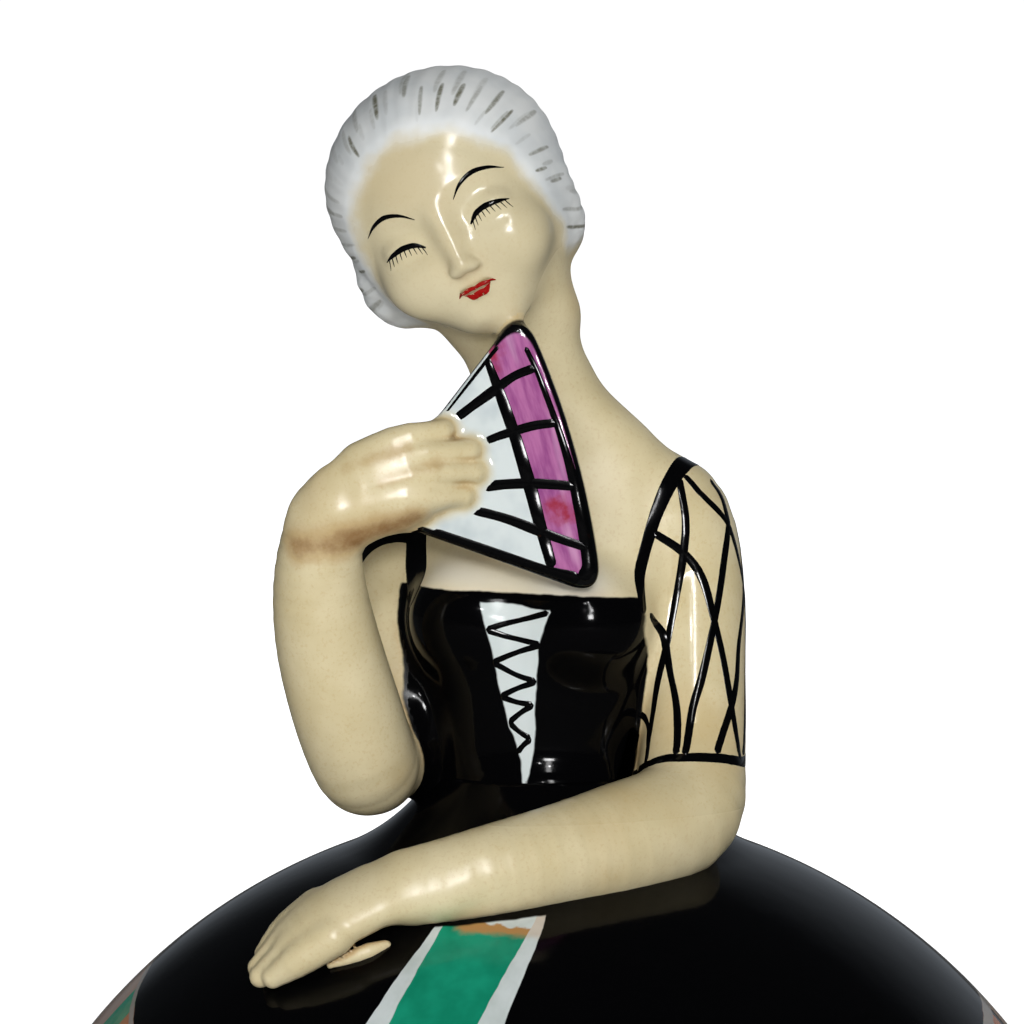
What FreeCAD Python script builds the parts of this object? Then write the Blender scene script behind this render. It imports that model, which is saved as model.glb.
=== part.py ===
import FreeCAD, Part
import math
import os

from FreeCAD import Vector

# Porcelain powder jar: a crinoline skirt bowl, its domed skirt lid with a half-figure on it,
# and the puff inside. Millimetres; +Z is up, the figure faces -Y, and the origin is the
# centre of the foot's resting plane.

# Skirt: one sphere, parted into a bowl and a lid.
SKIRT_R = 68.5
SKIRT_CENTRE_Z = 15.0
WALL = 3.5
PARTING_Z = 40.0
EDGE_ROUND = 0.8

# Bowl.
HEM_R = 69.8
HEM_Z = 2.2
FOOT_R = 65.5
FOOT_WIDTH = 4.5
FOOT_RECESS = 1.6
FLOOR_TOP_Z = 5.6
FLOOR_ROUND = 9.0
COLLAR_R = 57.9
COLLAR_THICK = 2.5
COLLAR_TOP_Z = 45.0

# Lid seat: the rebate that drops over the bowl's collar.
SEAT_GAP = 0.5
REBATE_TOP_Z = 46.0
REBATE_LEAD_IN = 0.6

# Waist, where the skirt rises into the figure.
FLARE_START_R = 24.0
FLARE_MIDDLE = (18.2, 82.6)
WAIST_R = 13.0
WAIST_Z = 88.5
VENT_R = 6.0

# Figure: heights of the body's sections, as (x, y, z, half width, half depth).
BODY_SECTIONS = [
    (-0.1, -0.1, 87.0, 13.0, 12.9),
    (-1.1, -1.0, 91.0, 12.8, 11.1),
    (-1.3, -2.0, 98.0, 14.1, 10.8),
    (-1.1, -2.4, 104.5, 15.7, 12.0),
    (-0.8, -1.8, 109.0, 16.0, 11.4),
    (-0.2, 0.3, 114.5, 16.8, 9.7),
    (0.0, 1.0, 119.5, 16.4, 8.4),
    (0.2, 1.2, 123.5, 14.8, 6.9),
    (0.2, 0.5, 127.5, 11.5, 6.3),
    (-0.9, -1.2, 132.0, 8.0, 6.4),
    (-2.4, -2.5, 136.0, 7.3, 6.3),
    (-3.9, -4.6, 142.5, 8.0, 6.5),
]
BODY_WALL = 3.0
HOLLOW_TOP_Z = 112.0

# Head, in its own tilted axes: (height, half width, half depth, shift towards the face).
HEAD_CENTRE = Vector(-9.3, -7.6, 154.2)
HEAD_UP = Vector(-0.451, -0.129, 0.883)
HEAD_FRONT = Vector(0.10, -0.99, -0.05)
HEAD_SECTIONS = [
    (-15.6, 2.6, 2.6, 7.6),
    (-13.6, 6.4, 6.0, 5.2),
    (-9.5, 10.6, 10.4, 1.6),
    (-4.0, 13.6, 13.0, -0.4),
    (2.0, 14.6, 14.2, -1.0),
    (8.0, 12.8, 13.0, -1.3),
    (12.2, 8.6, 9.2, -1.5),
    (14.6, 2.8, 3.0, -1.5),
]
# Hair gathered behind each ear: (out to the figure's right, ahead, above) and its radius.
HAIR_ROLLS = [(10.0, -2.4, -7.4), (-7.0, -2.4, -9.2)]
HAIR_ROLL_R = 4.7

# Arms: (x, y, z, radius in the arm's plane, radius across it) from the shoulder to the fingertips.
LEFT_ARM = [
    (11.8, 2.4, 121.2, 3.8, 3.8),
    (14.6, 2.6, 117.8, 6.0, 5.8),
    (16.2, 2.2, 110.0, 6.1, 6.0),
    (17.1, -0.4, 100.0, 5.9, 5.8),
    (17.9, -3.8, 91.0, 6.0, 5.9),
    (18.0, -9.2, 84.8, 6.4, 6.3),
    (12.9, -17.4, 82.6, 6.6, 6.3),
    (6.8, -24.4, 81.6, 5.8, 5.7),
    (0.2, -29.6, 80.4, 5.1, 5.0),
    (-7.4, -32.8, 79.0, 4.3, 4.2),
    (-13.6, -35.0, 76.6, 5.2, 3.6),
    (-18.4, -36.5, 73.4, 4.8, 3.0),
    (-21.6, -37.6, 70.4, 3.6, 2.2),
    (-23.4, -38.2, 68.6, 1.9, 1.4),
]
RIGHT_ARM = [
    (-14.8, 2.8, 119.0, 3.4, 3.4),
    (-17.0, 2.4, 115.2, 5.8, 5.8),
    (-18.0, -0.4, 107.6, 5.7, 5.7),
    (-18.2, -5.0, 98.0, 5.5, 5.5),
    (-18.2, -9.6, 90.8, 5.6, 5.7),
    (-18.2, -13.8, 90.0, 5.8, 6.1),
    (-19.2, -16.4, 96.0, 6.1, 6.1),
    (-20.6, -18.8, 104.0, 5.8, 5.9),
    (-20.9, -20.9, 111.8, 4.9, 5.0),
    (-20.0, -22.6, 117.2, 4.3, 4.5),
    (-16.8, -23.0, 120.8, 3.8, 4.5),
    (-12.6, -21.8, 123.2, 3.3, 5.2),
    (-8.4, -20.0, 124.6, 2.5, 5.4),
    (-5.0, -18.4, 125.0, 2.0, 4.6),
    (-3.4, -17.6, 125.0, 1.2, 3.0),
]

# Fan: a folded leaf spread from its pivot, held across the chest.
FAN_PIVOT = Vector(-15.2, -19.8, 120.4)
FAN_TIP = Vector(0.8, -15.8, 141.9)
FAN_CORNER = Vector(10.6, -15.0, 111.3)
FAN_THICK = 2.4
FAN_BULGE = 1.4
FAN_CORNER_ROUND = 2.1
PIVOT_ROUND = 2.4

# Swansdown puff, lying in the bowl.
PUFF_R = 34.0
PUFF_BOTTOM_Z = 5.9
PUFF_HEIGHT = 13.0
BACKING_R = 29.0
BACKING_HEIGHT = 3.0
BACKING_LIP = 1.0
BACKING_CROWN = 0.6
BACKING_FLAT_R = 10.0
LOOP_R = 7.5
LOOP_WIDTH = 8.0
LOOP_THICK = 1.0


def sphere_r(z, inset=0.0):
    """Radius of the skirt's sphere, shrunk by inset, at height z."""
    return math.sqrt((SKIRT_R - inset) ** 2 - (z - SKIRT_CENTRE_Z) ** 2)


def sphere_z(r, inset=0.0):
    """Height of the skirt's sphere, shrunk by inset, at radius r on its upper half."""
    return SKIRT_CENTRE_Z + math.sqrt((SKIRT_R - inset) ** 2 - r**2)


def line(a, b):
    return Part.LineSegment(Vector(a[0], 0, a[1]), Vector(b[0], 0, b[1])).toShape()


def arc(a, middle, b):
    points = [Vector(p[0], 0, p[1]) for p in (a, middle, b)]
    return Part.Arc(*points).toShape()


def sphere_arc(z_from, z_to, inset=0.0):
    """Profile edge along the skirt's sphere between two heights."""
    z_middle = (z_from + z_to) / 2
    return arc(
        (sphere_r(z_from, inset), z_from),
        (sphere_r(z_middle, inset), z_middle),
        (sphere_r(z_to, inset), z_to),
    )


def corner_arc(a, corner, b):
    """Quarter-round from a to b, bulging towards corner."""
    pull = 1 - math.sqrt(0.5)
    centre = (a[0] + b[0] - corner[0], a[1] + b[1] - corner[1])
    middle = tuple(corner[i] * (1 - pull) + centre[i] * pull for i in (0, 1))
    return arc(a, middle, b)


def revolve(edges):
    """Solid turned about Z from a closed chain of profile edges."""
    face = Part.Face(Part.Wire(edges))
    return face.revolve(Vector(0, 0, 0), Vector(0, 0, 1), 360)


def skirt_bowl():
    """Lower skirt: outer wall, foot ring, floor, and the collar that locates the lid."""
    rim_r = sphere_r(PARTING_Z - EDGE_ROUND)
    foot_in = FOOT_R - FOOT_WIDTH
    wall_top_z = 33.0
    wall_top_r = sphere_r(wall_top_z, WALL)
    wall_foot_z = FLOOR_TOP_Z + FLOOR_ROUND
    wall_foot_r = sphere_r(wall_foot_z, WALL)
    collar_in = COLLAR_R - COLLAR_THICK
    top = COLLAR_TOP_Z
    step = EDGE_ROUND
    edges = [
        line((0, FOOT_RECESS), (foot_in - 1.0, FOOT_RECESS)),
        line((foot_in - 1.0, FOOT_RECESS), (foot_in, 0)),
        line((foot_in, 0), (FOOT_R, 0)),
        arc((FOOT_R, 0), (HEM_R - 1.0, 0.6), (HEM_R, HEM_Z)),
        arc((HEM_R, HEM_Z), (SKIRT_R + 0.35, (HEM_Z + SKIRT_CENTRE_Z) / 2), (SKIRT_R, SKIRT_CENTRE_Z)),
        sphere_arc(SKIRT_CENTRE_Z, PARTING_Z - step),
        corner_arc((rim_r, PARTING_Z - step), (rim_r, PARTING_Z), (rim_r - step, PARTING_Z)),
        line((rim_r - step, PARTING_Z), (COLLAR_R, PARTING_Z)),
        line((COLLAR_R, PARTING_Z), (COLLAR_R, top - step)),
        corner_arc((COLLAR_R, top - step), (COLLAR_R, top), (COLLAR_R - step, top)),
        line((COLLAR_R - step, top), (collar_in + step, top)),
        corner_arc((collar_in + step, top), (collar_in, top), (collar_in, top - step)),
        line((collar_in, top - step), (collar_in, PARTING_Z)),
        arc((collar_in, PARTING_Z), (collar_in + 1.6, PARTING_Z - 3.8), (wall_top_r, wall_top_z)),
        sphere_arc(wall_top_z, wall_foot_z, WALL),
        corner_arc(
            (wall_foot_r, wall_foot_z),
            (wall_foot_r, FLOOR_TOP_Z),
            (wall_foot_r - FLOOR_ROUND, FLOOR_TOP_Z),
        ),
        line((wall_foot_r - FLOOR_ROUND, FLOOR_TOP_Z), (0, FLOOR_TOP_Z)),
        line((0, FLOOR_TOP_Z), (0, FOOT_RECESS)),
    ]
    return revolve(edges)


def skirt_lid():
    """Upper skirt: the dome, its seat over the collar, and the flare up to the waist."""
    rebate_r = COLLAR_R + SEAT_GAP
    rim_z = PARTING_Z + EDGE_ROUND
    rim_r = sphere_r(rim_z)
    flare_z = sphere_z(FLARE_START_R)
    inner_top_z = sphere_z(VENT_R, WALL)
    inner_middle_r = (VENT_R + sphere_r(REBATE_TOP_Z, WALL)) / 2
    edges = [
        corner_arc((rim_r - EDGE_ROUND, PARTING_Z), (rim_r, PARTING_Z), (rim_r, rim_z)),
        sphere_arc(rim_z, flare_z),
        arc((FLARE_START_R, flare_z), FLARE_MIDDLE, (WAIST_R, WAIST_Z)),
        line((WAIST_R, WAIST_Z), (VENT_R, WAIST_Z)),
        line((VENT_R, WAIST_Z), (VENT_R, inner_top_z)),
        arc(
            (VENT_R, inner_top_z),
            (inner_middle_r, sphere_z(inner_middle_r, WALL)),
            (sphere_r(REBATE_TOP_Z, WALL), REBATE_TOP_Z),
        ),
        line((sphere_r(REBATE_TOP_Z, WALL), REBATE_TOP_Z), (rebate_r, REBATE_TOP_Z)),
        line((rebate_r, REBATE_TOP_Z), (rebate_r, PARTING_Z + REBATE_LEAD_IN)),
        line((rebate_r, PARTING_Z + REBATE_LEAD_IN), (rebate_r + REBATE_LEAD_IN, PARTING_Z)),
        line((rebate_r + REBATE_LEAD_IN, PARTING_Z), (rim_r - EDGE_ROUND, PARTING_Z)),
    ]
    return revolve(edges)


def ring(centre, along_a, along_b, radius_a, radius_b, points=12):
    """Closed smooth oval about centre, in the plane of two unit directions."""
    turn = [2 * math.pi * i / points for i in range(points)]
    oval = Part.BSplineCurve()
    oval.interpolate(
        [
            centre + along_a * (radius_a * math.cos(t)) + along_b * (radius_b * math.sin(t))
            for t in turn
        ],
        PeriodicFlag=True,
    )
    return Part.Wire(oval.toShape())


def lofted(rings):
    return Part.makeLoft(rings, True, False)


def unit(vector):
    result = Vector(vector)
    return result.normalize()


def body(inset=0.0, top_z=math.inf):
    """Half-figure's body and neck as one solid, shrunk by inset, of the sections below top_z."""
    rings = [
        ring(Vector(x, y, z), Vector(1, 0, 0), Vector(0, 1, 0), a - inset, b - inset)
        for x, y, z, a, b in BODY_SECTIONS
        if z < top_z
    ]
    below_waist = Part.makeBox(60, 60, WAIST_Z, Vector(-30, -30, 0))
    return lofted(rings).cut(below_waist)


def head():
    """Head and drawn-back hair, tilted towards the figure's right shoulder."""
    up = unit(HEAD_UP)
    side = unit(HEAD_FRONT.cross(up))
    front = unit(up.cross(side))
    skull = lofted(
        [
            ring(HEAD_CENTRE + up * h + front * shift, side, front, a, b)
            for h, a, b, shift in HEAD_SECTIONS
        ]
    )
    for out, ahead, above in HAIR_ROLLS:
        roll_centre = HEAD_CENTRE + side * out + front * ahead + up * above
        skull = skull.fuse(Part.makeSphere(HAIR_ROLL_R, roll_centre))
    return skull


def limb(sections):
    """Arm lofted along its centre line; the ovals keep one axis square to the arm's plane."""
    centres = [Vector(x, y, z) for x, y, z, _, _ in sections]
    elbow = centres[len(centres) // 3 + 1]
    across = unit((centres[0] - elbow).cross(centres[-5] - elbow))
    rings = []
    for i, (x, y, z, in_plane, off_plane) in enumerate(sections):
        before = centres[max(i - 1, 0)]
        after = centres[min(i + 1, len(centres) - 1)]
        tangent = unit(after - before)
        second = unit(tangent.cross(across))
        first = unit(second.cross(tangent))
        rings.append(ring(Vector(x, y, z), second, first, in_plane, off_plane))
    return lofted(rings)


def fan():
    """Flat fan leaf with a slightly bowed outer edge and rounded corners."""
    normal = unit((FAN_TIP - FAN_PIVOT).cross(FAN_CORNER - FAN_PIVOT))
    middle = (FAN_TIP + FAN_CORNER) * 0.5
    outward = unit(middle - FAN_PIVOT)
    edges = [
        Part.LineSegment(FAN_PIVOT, FAN_TIP).toShape(),
        Part.Arc(FAN_TIP, middle + outward * FAN_BULGE, FAN_CORNER).toShape(),
        Part.LineSegment(FAN_CORNER, FAN_PIVOT).toShape(),
    ]
    face = Part.Face(Part.Wire(edges))
    leaf = face.extrude(normal * FAN_THICK)
    leaf.translate(normal * (-FAN_THICK / 2))
    for point, radius in (
        (FAN_TIP, FAN_CORNER_ROUND),
        (FAN_CORNER, FAN_CORNER_ROUND),
        (FAN_PIVOT, PIVOT_ROUND),
    ):
        leaf = leaf.makeFillet(radius, [upright_edge(leaf, point, normal)])
    return leaf


def upright_edge(solid, point, direction):
    """The solid's straight edge that runs along direction through point."""
    for edge in solid.Edges:
        if not isinstance(edge.Curve, Part.Line):
            continue
        along = unit(edge.Vertexes[1].Point - edge.Vertexes[0].Point)
        if abs(along.dot(direction)) > 0.999 and edge.CenterOfMass.distanceToPoint(point) < 0.1:
            return edge
    raise ValueError("no upright edge at that corner")


def puff_pile():
    """Round down pad with a full, rounded edge."""
    bottom = PUFF_BOTTOM_Z
    top = bottom + PUFF_HEIGHT
    edge_r = PUFF_HEIGHT / 2
    edges = [
        line((0, bottom), (PUFF_R - edge_r, bottom)),
        arc((PUFF_R - edge_r, bottom), (PUFF_R, bottom + edge_r), (PUFF_R - edge_r, top)),
        line((PUFF_R - edge_r, top), (0, top)),
        line((0, top), (0, bottom)),
    ]
    return revolve(edges)


def puff_backing():
    """Domed satin cap sewn over the puff, flat where the loop is sewn on."""
    bottom = PUFF_BOTTOM_Z + PUFF_HEIGHT
    top = bottom + BACKING_HEIGHT
    middle_r = (BACKING_R + BACKING_FLAT_R) / 2
    edges = [
        line((0, bottom), (BACKING_R, bottom)),
        line((BACKING_R, bottom), (BACKING_R, bottom + BACKING_LIP)),
        arc((BACKING_R, bottom + BACKING_LIP), (middle_r, top - BACKING_CROWN), (BACKING_FLAT_R, top)),
        line((BACKING_FLAT_R, top), (0, top)),
        line((0, top), (0, bottom)),
    ]
    return revolve(edges)


def puff_loop():
    """Ribbon loop, the puff's handle: a half ring standing on the cap."""
    foot_z = PUFF_BOTTOM_Z + PUFF_HEIGHT + BACKING_HEIGHT
    hoop = Part.makeCylinder(LOOP_R, LOOP_WIDTH).cut(
        Part.makeCylinder(LOOP_R - LOOP_THICK, LOOP_WIDTH)
    )
    hoop = hoop.cut(Part.makeBox(40, 20, 20, Vector(-20, -20, -5)))
    hoop.rotate(Vector(0, 0, 0), Vector(1, 0, 0), 90)
    hoop.translate(Vector(0, LOOP_WIDTH / 2, foot_z))
    return hoop


def build():
    parts = {
        "skirt_bowl": skirt_bowl(),
        "skirt_lid": skirt_lid(),
        "head": head(),
        "puff_pile": puff_pile(),
        "puff_backing": puff_backing(),
        "puff_loop": puff_loop(),
    }
    figure = body()
    hollow = body(BODY_WALL, HOLLOW_TOP_Z)
    right_limb = limb(RIGHT_ARM)
    parts["torso"] = figure.cut(hollow).cut(parts["head"])
    parts["right_arm"] = right_limb.cut(figure)
    parts["left_arm"] = limb(LEFT_ARM).cut(figure).cut(parts["skirt_lid"])
    parts["fan"] = fan().cut(right_limb).cut(figure).cut(parts["head"])
    return parts


def largest(shape):
    """The one solid of a shape, or the biggest where a cut left a crumb."""
    return max(shape.Solids, key=lambda solid: solid.Volume)


def main():
    os.makedirs("parts", exist_ok=True)
    for name, shape in build().items():
        solid = largest(shape)
        print(name, "solids", len(shape.Solids), "valid", solid.isValid(), "volume", round(solid.Volume, 1))
        solid.exportStep(f"parts/{name}.step")


main()
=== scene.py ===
import math

import bpy
import numpy as np
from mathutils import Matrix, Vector


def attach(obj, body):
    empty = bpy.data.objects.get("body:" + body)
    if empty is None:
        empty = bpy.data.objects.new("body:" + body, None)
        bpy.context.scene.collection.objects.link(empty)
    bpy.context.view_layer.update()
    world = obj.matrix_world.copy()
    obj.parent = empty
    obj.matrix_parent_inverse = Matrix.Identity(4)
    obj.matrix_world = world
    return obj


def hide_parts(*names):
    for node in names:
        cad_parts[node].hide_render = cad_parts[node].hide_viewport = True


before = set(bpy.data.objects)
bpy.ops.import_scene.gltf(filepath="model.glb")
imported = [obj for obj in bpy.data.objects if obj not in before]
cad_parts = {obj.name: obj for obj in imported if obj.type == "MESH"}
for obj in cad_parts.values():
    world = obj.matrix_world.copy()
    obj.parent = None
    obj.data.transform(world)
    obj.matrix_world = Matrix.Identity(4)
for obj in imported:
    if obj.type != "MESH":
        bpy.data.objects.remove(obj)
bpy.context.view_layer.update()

MM = 0.001
STEP = 0.38  # sculpting grid, mm

# ------------------------------------------------------------------ figure's design, in millimetres

BODY_SECTIONS = [  # x, y, z, half width, half depth
    (0.0, 0.0, 84.0, 13.4, 13.4),
    (0.0, 0.0, 86.6, 13.3, 13.2),
    (-0.1, -0.1, 88.4, 13.05, 13.0),
    (-0.7, -0.6, 89.7, 12.8, 12.0),
    (-1.1, -1.0, 91.2, 12.8, 11.2),
    (-1.3, -1.5, 93.5, 13.1, 10.7),
    (-1.3, -2.0, 98.0, 14.0, 10.5),
    (-1.1, -2.0, 104.5, 15.6, 10.8),
    (-0.8, -1.4, 109.0, 15.9, 10.5),
    (-0.2, 0.3, 114.5, 16.6, 9.5),
    (0.0, 1.1, 119.5, 16.2, 8.2),
    (0.2, 1.0, 123.5, 14.6, 7.2),
    (0.2, 0.2, 127.5, 11.4, 6.6),
    (-0.9, -1.2, 132.0, 7.9, 6.4),
    (-2.0, -2.0, 135.0, 7.2, 6.3),
    (-3.3, -3.2, 138.0, 7.6, 6.3),
    (-3.8, -4.6, 142.5, 8.2, 6.5),
    (-6.0, -6.2, 149.0, 7.2, 6.0),
]
HEAD_CENTRE = np.array([-9.3, -7.6, 154.2])
HEAD_UP = np.array([-0.451, -0.129, 0.883])
HEAD_FRONT = np.array([0.10, -0.99, -0.05])

LEFT_ARM = [  # x, y, z, radius
    (11.4, 2.4, 121.0, 4.0),
    (14.5, 2.6, 117.8, 5.8),
    (16.2, 2.2, 110.0, 6.0),
    (17.1, -0.4, 100.0, 5.9),
    (17.9, -3.8, 91.0, 6.0),
    (18.0, -9.2, 85.0, 6.5),
    (12.9, -17.4, 82.8, 6.5),
    (6.8, -24.4, 81.6, 5.7),
    (0.2, -29.6, 80.4, 5.0),
    (-6.4, -32.4, 79.0, 4.2),
]
LEFT_HAND = [
    (-4.0, -31.6, 79.7, 4.5), (-9.4, -33.4, 78.6, 4.9), (-14.7, -35.3, 75.9, 5.0),
    (-17.2, -36.1, 74.1, 4.4),
]
LEFT_HAND_FLATNESS = 1.7
LEFT_HAND_AXIS = ((-9.4, -33.4, 78.7), (-22.6, -38.0, 69.0))
LEFT_FINGER_ROOT = (-15.8, -35.7, 75.1)
LEFT_FINGERS = [(-3.6, 7.4), (-1.25, 8.8), (1.25, 9.1), (3.6, 7.9)]  # offset across the palm and reach
LEFT_THUMB = [(-8.8, -35.5, 72.9, 0.6), (-11.0, -36.6, 72.1, 0.95), (-14.6, -37.7, 70.7, 0.35)]
RIGHT_ARM = [
    (-14.6, 2.8, 119.2, 3.9),
    (-17.0, 2.4, 115.2, 5.8),
    (-18.0, -0.4, 107.6, 5.7),
    (-18.2, -5.0, 98.0, 5.4),
    (-18.2, -9.6, 91.0, 5.6),
    (-18.0, -13.4, 90.2, 6.0),
    (-19.2, -16.4, 96.0, 6.2),
    (-20.7, -18.8, 104.0, 5.9),
    (-21.1, -20.8, 111.0, 5.2),
    (-20.2, -22.4, 116.8, 4.4),
    (-18.2, -23.2, 119.6, 3.8),
]
RIGHT_HAND = [
    (-19.2, -23.2, 119.4, 3.9), (-16.8, -23.6, 121.6, 4.1), (-14.2, -23.2, 122.9, 4.1),
    (-12.0, -22.3, 123.6, 4.0),
]
RIGHT_HAND_FLATNESS = 1.9
RIGHT_FINGERS = [  # from the knuckle to the tip, each x, y, z, radius
    ((-15.6, -22.6, 125.4, 1.9), (-11.0, -22.0, 127.7, 1.7), (-6.9, -19.9, 128.6, 1.1)),
    ((-15.2, -23.4, 124.0, 1.8), (-9.4, -22.1, 126.0, 1.6), (-4.0, -19.2, 126.4, 1.0)),
    ((-14.8, -23.8, 122.3, 1.8), (-8.6, -22.3, 123.9, 1.6), (-3.5, -19.1, 124.0, 1.0)),
    ((-14.6, -23.7, 120.4, 1.9), (-9.2, -22.5, 121.5, 1.7), (-4.8, -19.4, 121.4, 1.1)),
]
HEEL = [
    (-18.6, -22.4, 118.4, 3.1), (-14.8, -22.0, 119.4, 3.0), (-10.6, -20.8, 120.5, 2.7),
    (-7.6, -19.6, 122.0, 1.6),
]
THUMB = ((-15.0, -20.6, 121.4, 1.8), (-11.4, -18.4, 122.4, 1.5), (-7.8, -17.0, 123.2, 1.2))

FAN_PIVOT = np.array([-15.2, -19.8, 120.4])
FAN_TIP = np.array([0.8, -15.8, 141.9])
FAN_CORNER = np.array([10.6, -15.0, 111.3])
FAN_THICK = 2.2
FAN_ROUND = 2.4
FAN_BULGE = 1.4
FAN_RIB_MIDDLE, FAN_RIB_SPACING = 0.14, 0.325  # slopes of the ribs in the fan's plane
FAN_SWELL = 0.16
FAN_LOWER_EDGE = 1.4  # how far the lower edge stands outside the line through the pivot


def unit(v):
    v = np.asarray(v, float)
    return v / np.linalg.norm(v)


HEAD_SIDE = unit(np.cross(HEAD_UP, HEAD_FRONT))  # towards the figure's left
HEAD_AXES = np.stack([HEAD_SIDE, np.cross(HEAD_SIDE, unit(HEAD_UP)), unit(HEAD_UP)])

FAN_OUT = unit((FAN_TIP + FAN_CORNER) / 2 - FAN_PIVOT)
FAN_FACE = unit(np.cross(FAN_CORNER - FAN_PIVOT, FAN_TIP - FAN_PIVOT))
FAN_RISE = np.cross(FAN_FACE, FAN_OUT)


# ------------------------------------------------------------------ implicit solids

def smooth_min(a, b, k):
    h = np.maximum(k - np.abs(a - b), 0.0) / k
    return np.minimum(a, b) - h * h * (k * 0.25)


def smooth_max(a, b, k):
    return -smooth_min(-a, -b, k)


def smooth_step(x, low, high):
    t = np.clip((x - low) / (high - low), 0.0, 1.0)
    return t * t * (3 - 2 * t)


def spline(rows, count):
    """count rows along a smooth curve through the given rows."""
    p = np.array(rows, float)
    ends = np.vstack([2 * p[0] - p[1], p, 2 * p[-1] - p[-2]])
    t = np.linspace(0, len(p) - 1, count)
    i = np.minimum(t.astype(int), len(p) - 2)
    f = (t - i)[:, None]
    a, b, c, d = (ends[i + k] for k in range(4))
    return 0.5 * (2 * b + (c - a) * f + (2 * a - 5 * b + 4 * c - d) * f**2 + (3 * b - a - 3 * c + d) * f**3)


def capsule(p, a, b):
    """Distance to a tapered capsule; a and b are x, y, z, radius."""
    along = b[:3] - a[:3]
    from_a = p - a[:3]
    t = np.clip(from_a @ along / max(along @ along, 1e-9), 0.0, 1.0)
    off = from_a - t[:, None] * along
    return np.sqrt(np.einsum("ij,ij->i", off, off)) - (a[3] + (b[3] - a[3]) * t)


def tube(p, rows, count):
    line = spline(rows, count)
    best = np.full(len(p), 1e3)
    for a, b in zip(line[:-1], line[1:]):
        best = np.minimum(best, capsule(p, a, b))
    return best


def flat_tube(p, rows, count, normal, flatness):
    """A tube made thinner along normal."""
    rows = np.array(rows)
    origin = rows[0, :3]

    def stretched(q):
        return q + np.outer((q - origin) @ normal, normal) * (flatness - 1)

    line = np.hstack([stretched(rows[:, :3]), rows[:, 3:]])
    return tube(stretched(p), line, count) / math.sqrt(flatness)


def ellipsoid(p, centre, radii):
    q = (p - np.array(centre)) / np.array(radii)
    k0 = np.sqrt(np.einsum("ij,ij->i", q, q)) + 1e-6
    q = q / np.array(radii)
    k1 = np.sqrt(np.einsum("ij,ij->i", q, q)) + 1e-6
    return k0 * (k0 - 1) / k1


def section_loft(p, table):
    """Distance to a stack of ovals; table rows are x, y, z, half width, half depth, sorted by z."""
    z = table[:, 2]
    cx, cy, a, b = (np.interp(p[:, 2], z, table[:, k]) for k in (0, 1, 3, 4))
    ux, uy = (p[:, 0] - cx) / a, (p[:, 1] - cy) / b
    q = np.sqrt(ux**2 + uy**2) + 1e-6
    slope = np.sqrt((ux / a) ** 2 + (uy / b) ** 2) + 1e-6
    return (q - 1) * q / slope


BODY_TABLE = spline(BODY_SECTIONS, 160)
FAN_SUPPORT = [
    (-8.0, -13.4, 120.4, 3.6), (-3.0, -12.8, 119.2, 3.5), (2.4, -11.8, 117.4, 2.8),
]  # from chest to fan
ELBOW_WEB = (-13.8, -5.0, 92.6)  # from bodice to right elbow


BUST = ((6.8, -8.2, 106.4), (6.6, 5.7, 6.2))  # centre and half sizes
BUST_MIDDLE_X = -0.4
SHOULDER_BLADE = ((7.2, 6.4, 114.0), (5.4, 3.2, 7.0))
SPINE = [(-0.6, 9.4, 90, 0.8), (-0.6, 11.4, 104, 1.0), (0, 12.2, 116, 0.8)]
ELBOW_WEB_SIZE = (3.4, 5.5, 8.0)


def on_side(shape, side, middle=0.0):
    """The shape's centre and half sizes on one side of the middle, 1 or -1."""
    (x, y, z), sizes = shape
    return (side * x + middle, y, z), sizes


def torso_solid(p):
    d = section_loft(p, BODY_TABLE)
    d = smooth_max(d, 85.0 - p[:, 2], 0.5)
    d = smooth_max(d, p[:, 2] - 147.0, 2.0)
    for side in (-1, 1):
        d = smooth_min(d, ellipsoid(p, *on_side(BUST, side, BUST_MIDDLE_X)), 3.0)
        d = smooth_min(d, ellipsoid(p, *on_side(SHOULDER_BLADE, side)), 3.0)
    d = smooth_min(d, tube(p, FAN_SUPPORT, 5), 3.0)
    d = smooth_min(d, ellipsoid(p, ELBOW_WEB, ELBOW_WEB_SIZE), 3.0)
    return smooth_max(d, -tube(p, SPINE, 8), 3.0)


def head_space(p):
    return (p - HEAD_CENTRE) @ HEAD_AXES.T


def hair_angle(q):
    """Angles of head points: away from the face's axis, and round it from straight up."""
    away = np.degrees(np.arctan2(np.hypot(q[:, 0], q[:, 2] + 1.0), q[:, 1]))
    round_axis = np.degrees(np.arctan2(q[:, 0], q[:, 2] + 1.0))
    return away, round_axis


HAIRLINE = [(0, 43), (40, 44), (80, 50), (110, 60), (135, 78), (150, 100), (165, 150), (180, 180)]


def hair_depth(q):
    """Degrees past the hairline, negative on the face and neck."""
    away, round_axis = hair_angle(q)
    line = np.interp(np.abs(round_axis), *np.array(HAIRLINE, float).T)
    nape = (q[:, 2] + 11.0) * 6.0
    return np.minimum(away - line, nape)


HAIR_LOCKS = 40


def hair_grooves(q):
    """How deep the combed grooves of the hair are."""
    away, round_axis = hair_angle(q)
    depth = hair_depth(q)
    lock = 360 / HAIR_LOCKS
    phase = (round_axis - 0.10 * depth + 1.2 * np.sin(np.radians(round_axis * 7))) / lock
    across = np.abs(phase - np.round(phase)) * lock
    run = smooth_step(depth, -2, 14) * smooth_step(160.0 - away, 0, 40)
    return np.exp(-((across / 2.6) ** 2)) * run


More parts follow.
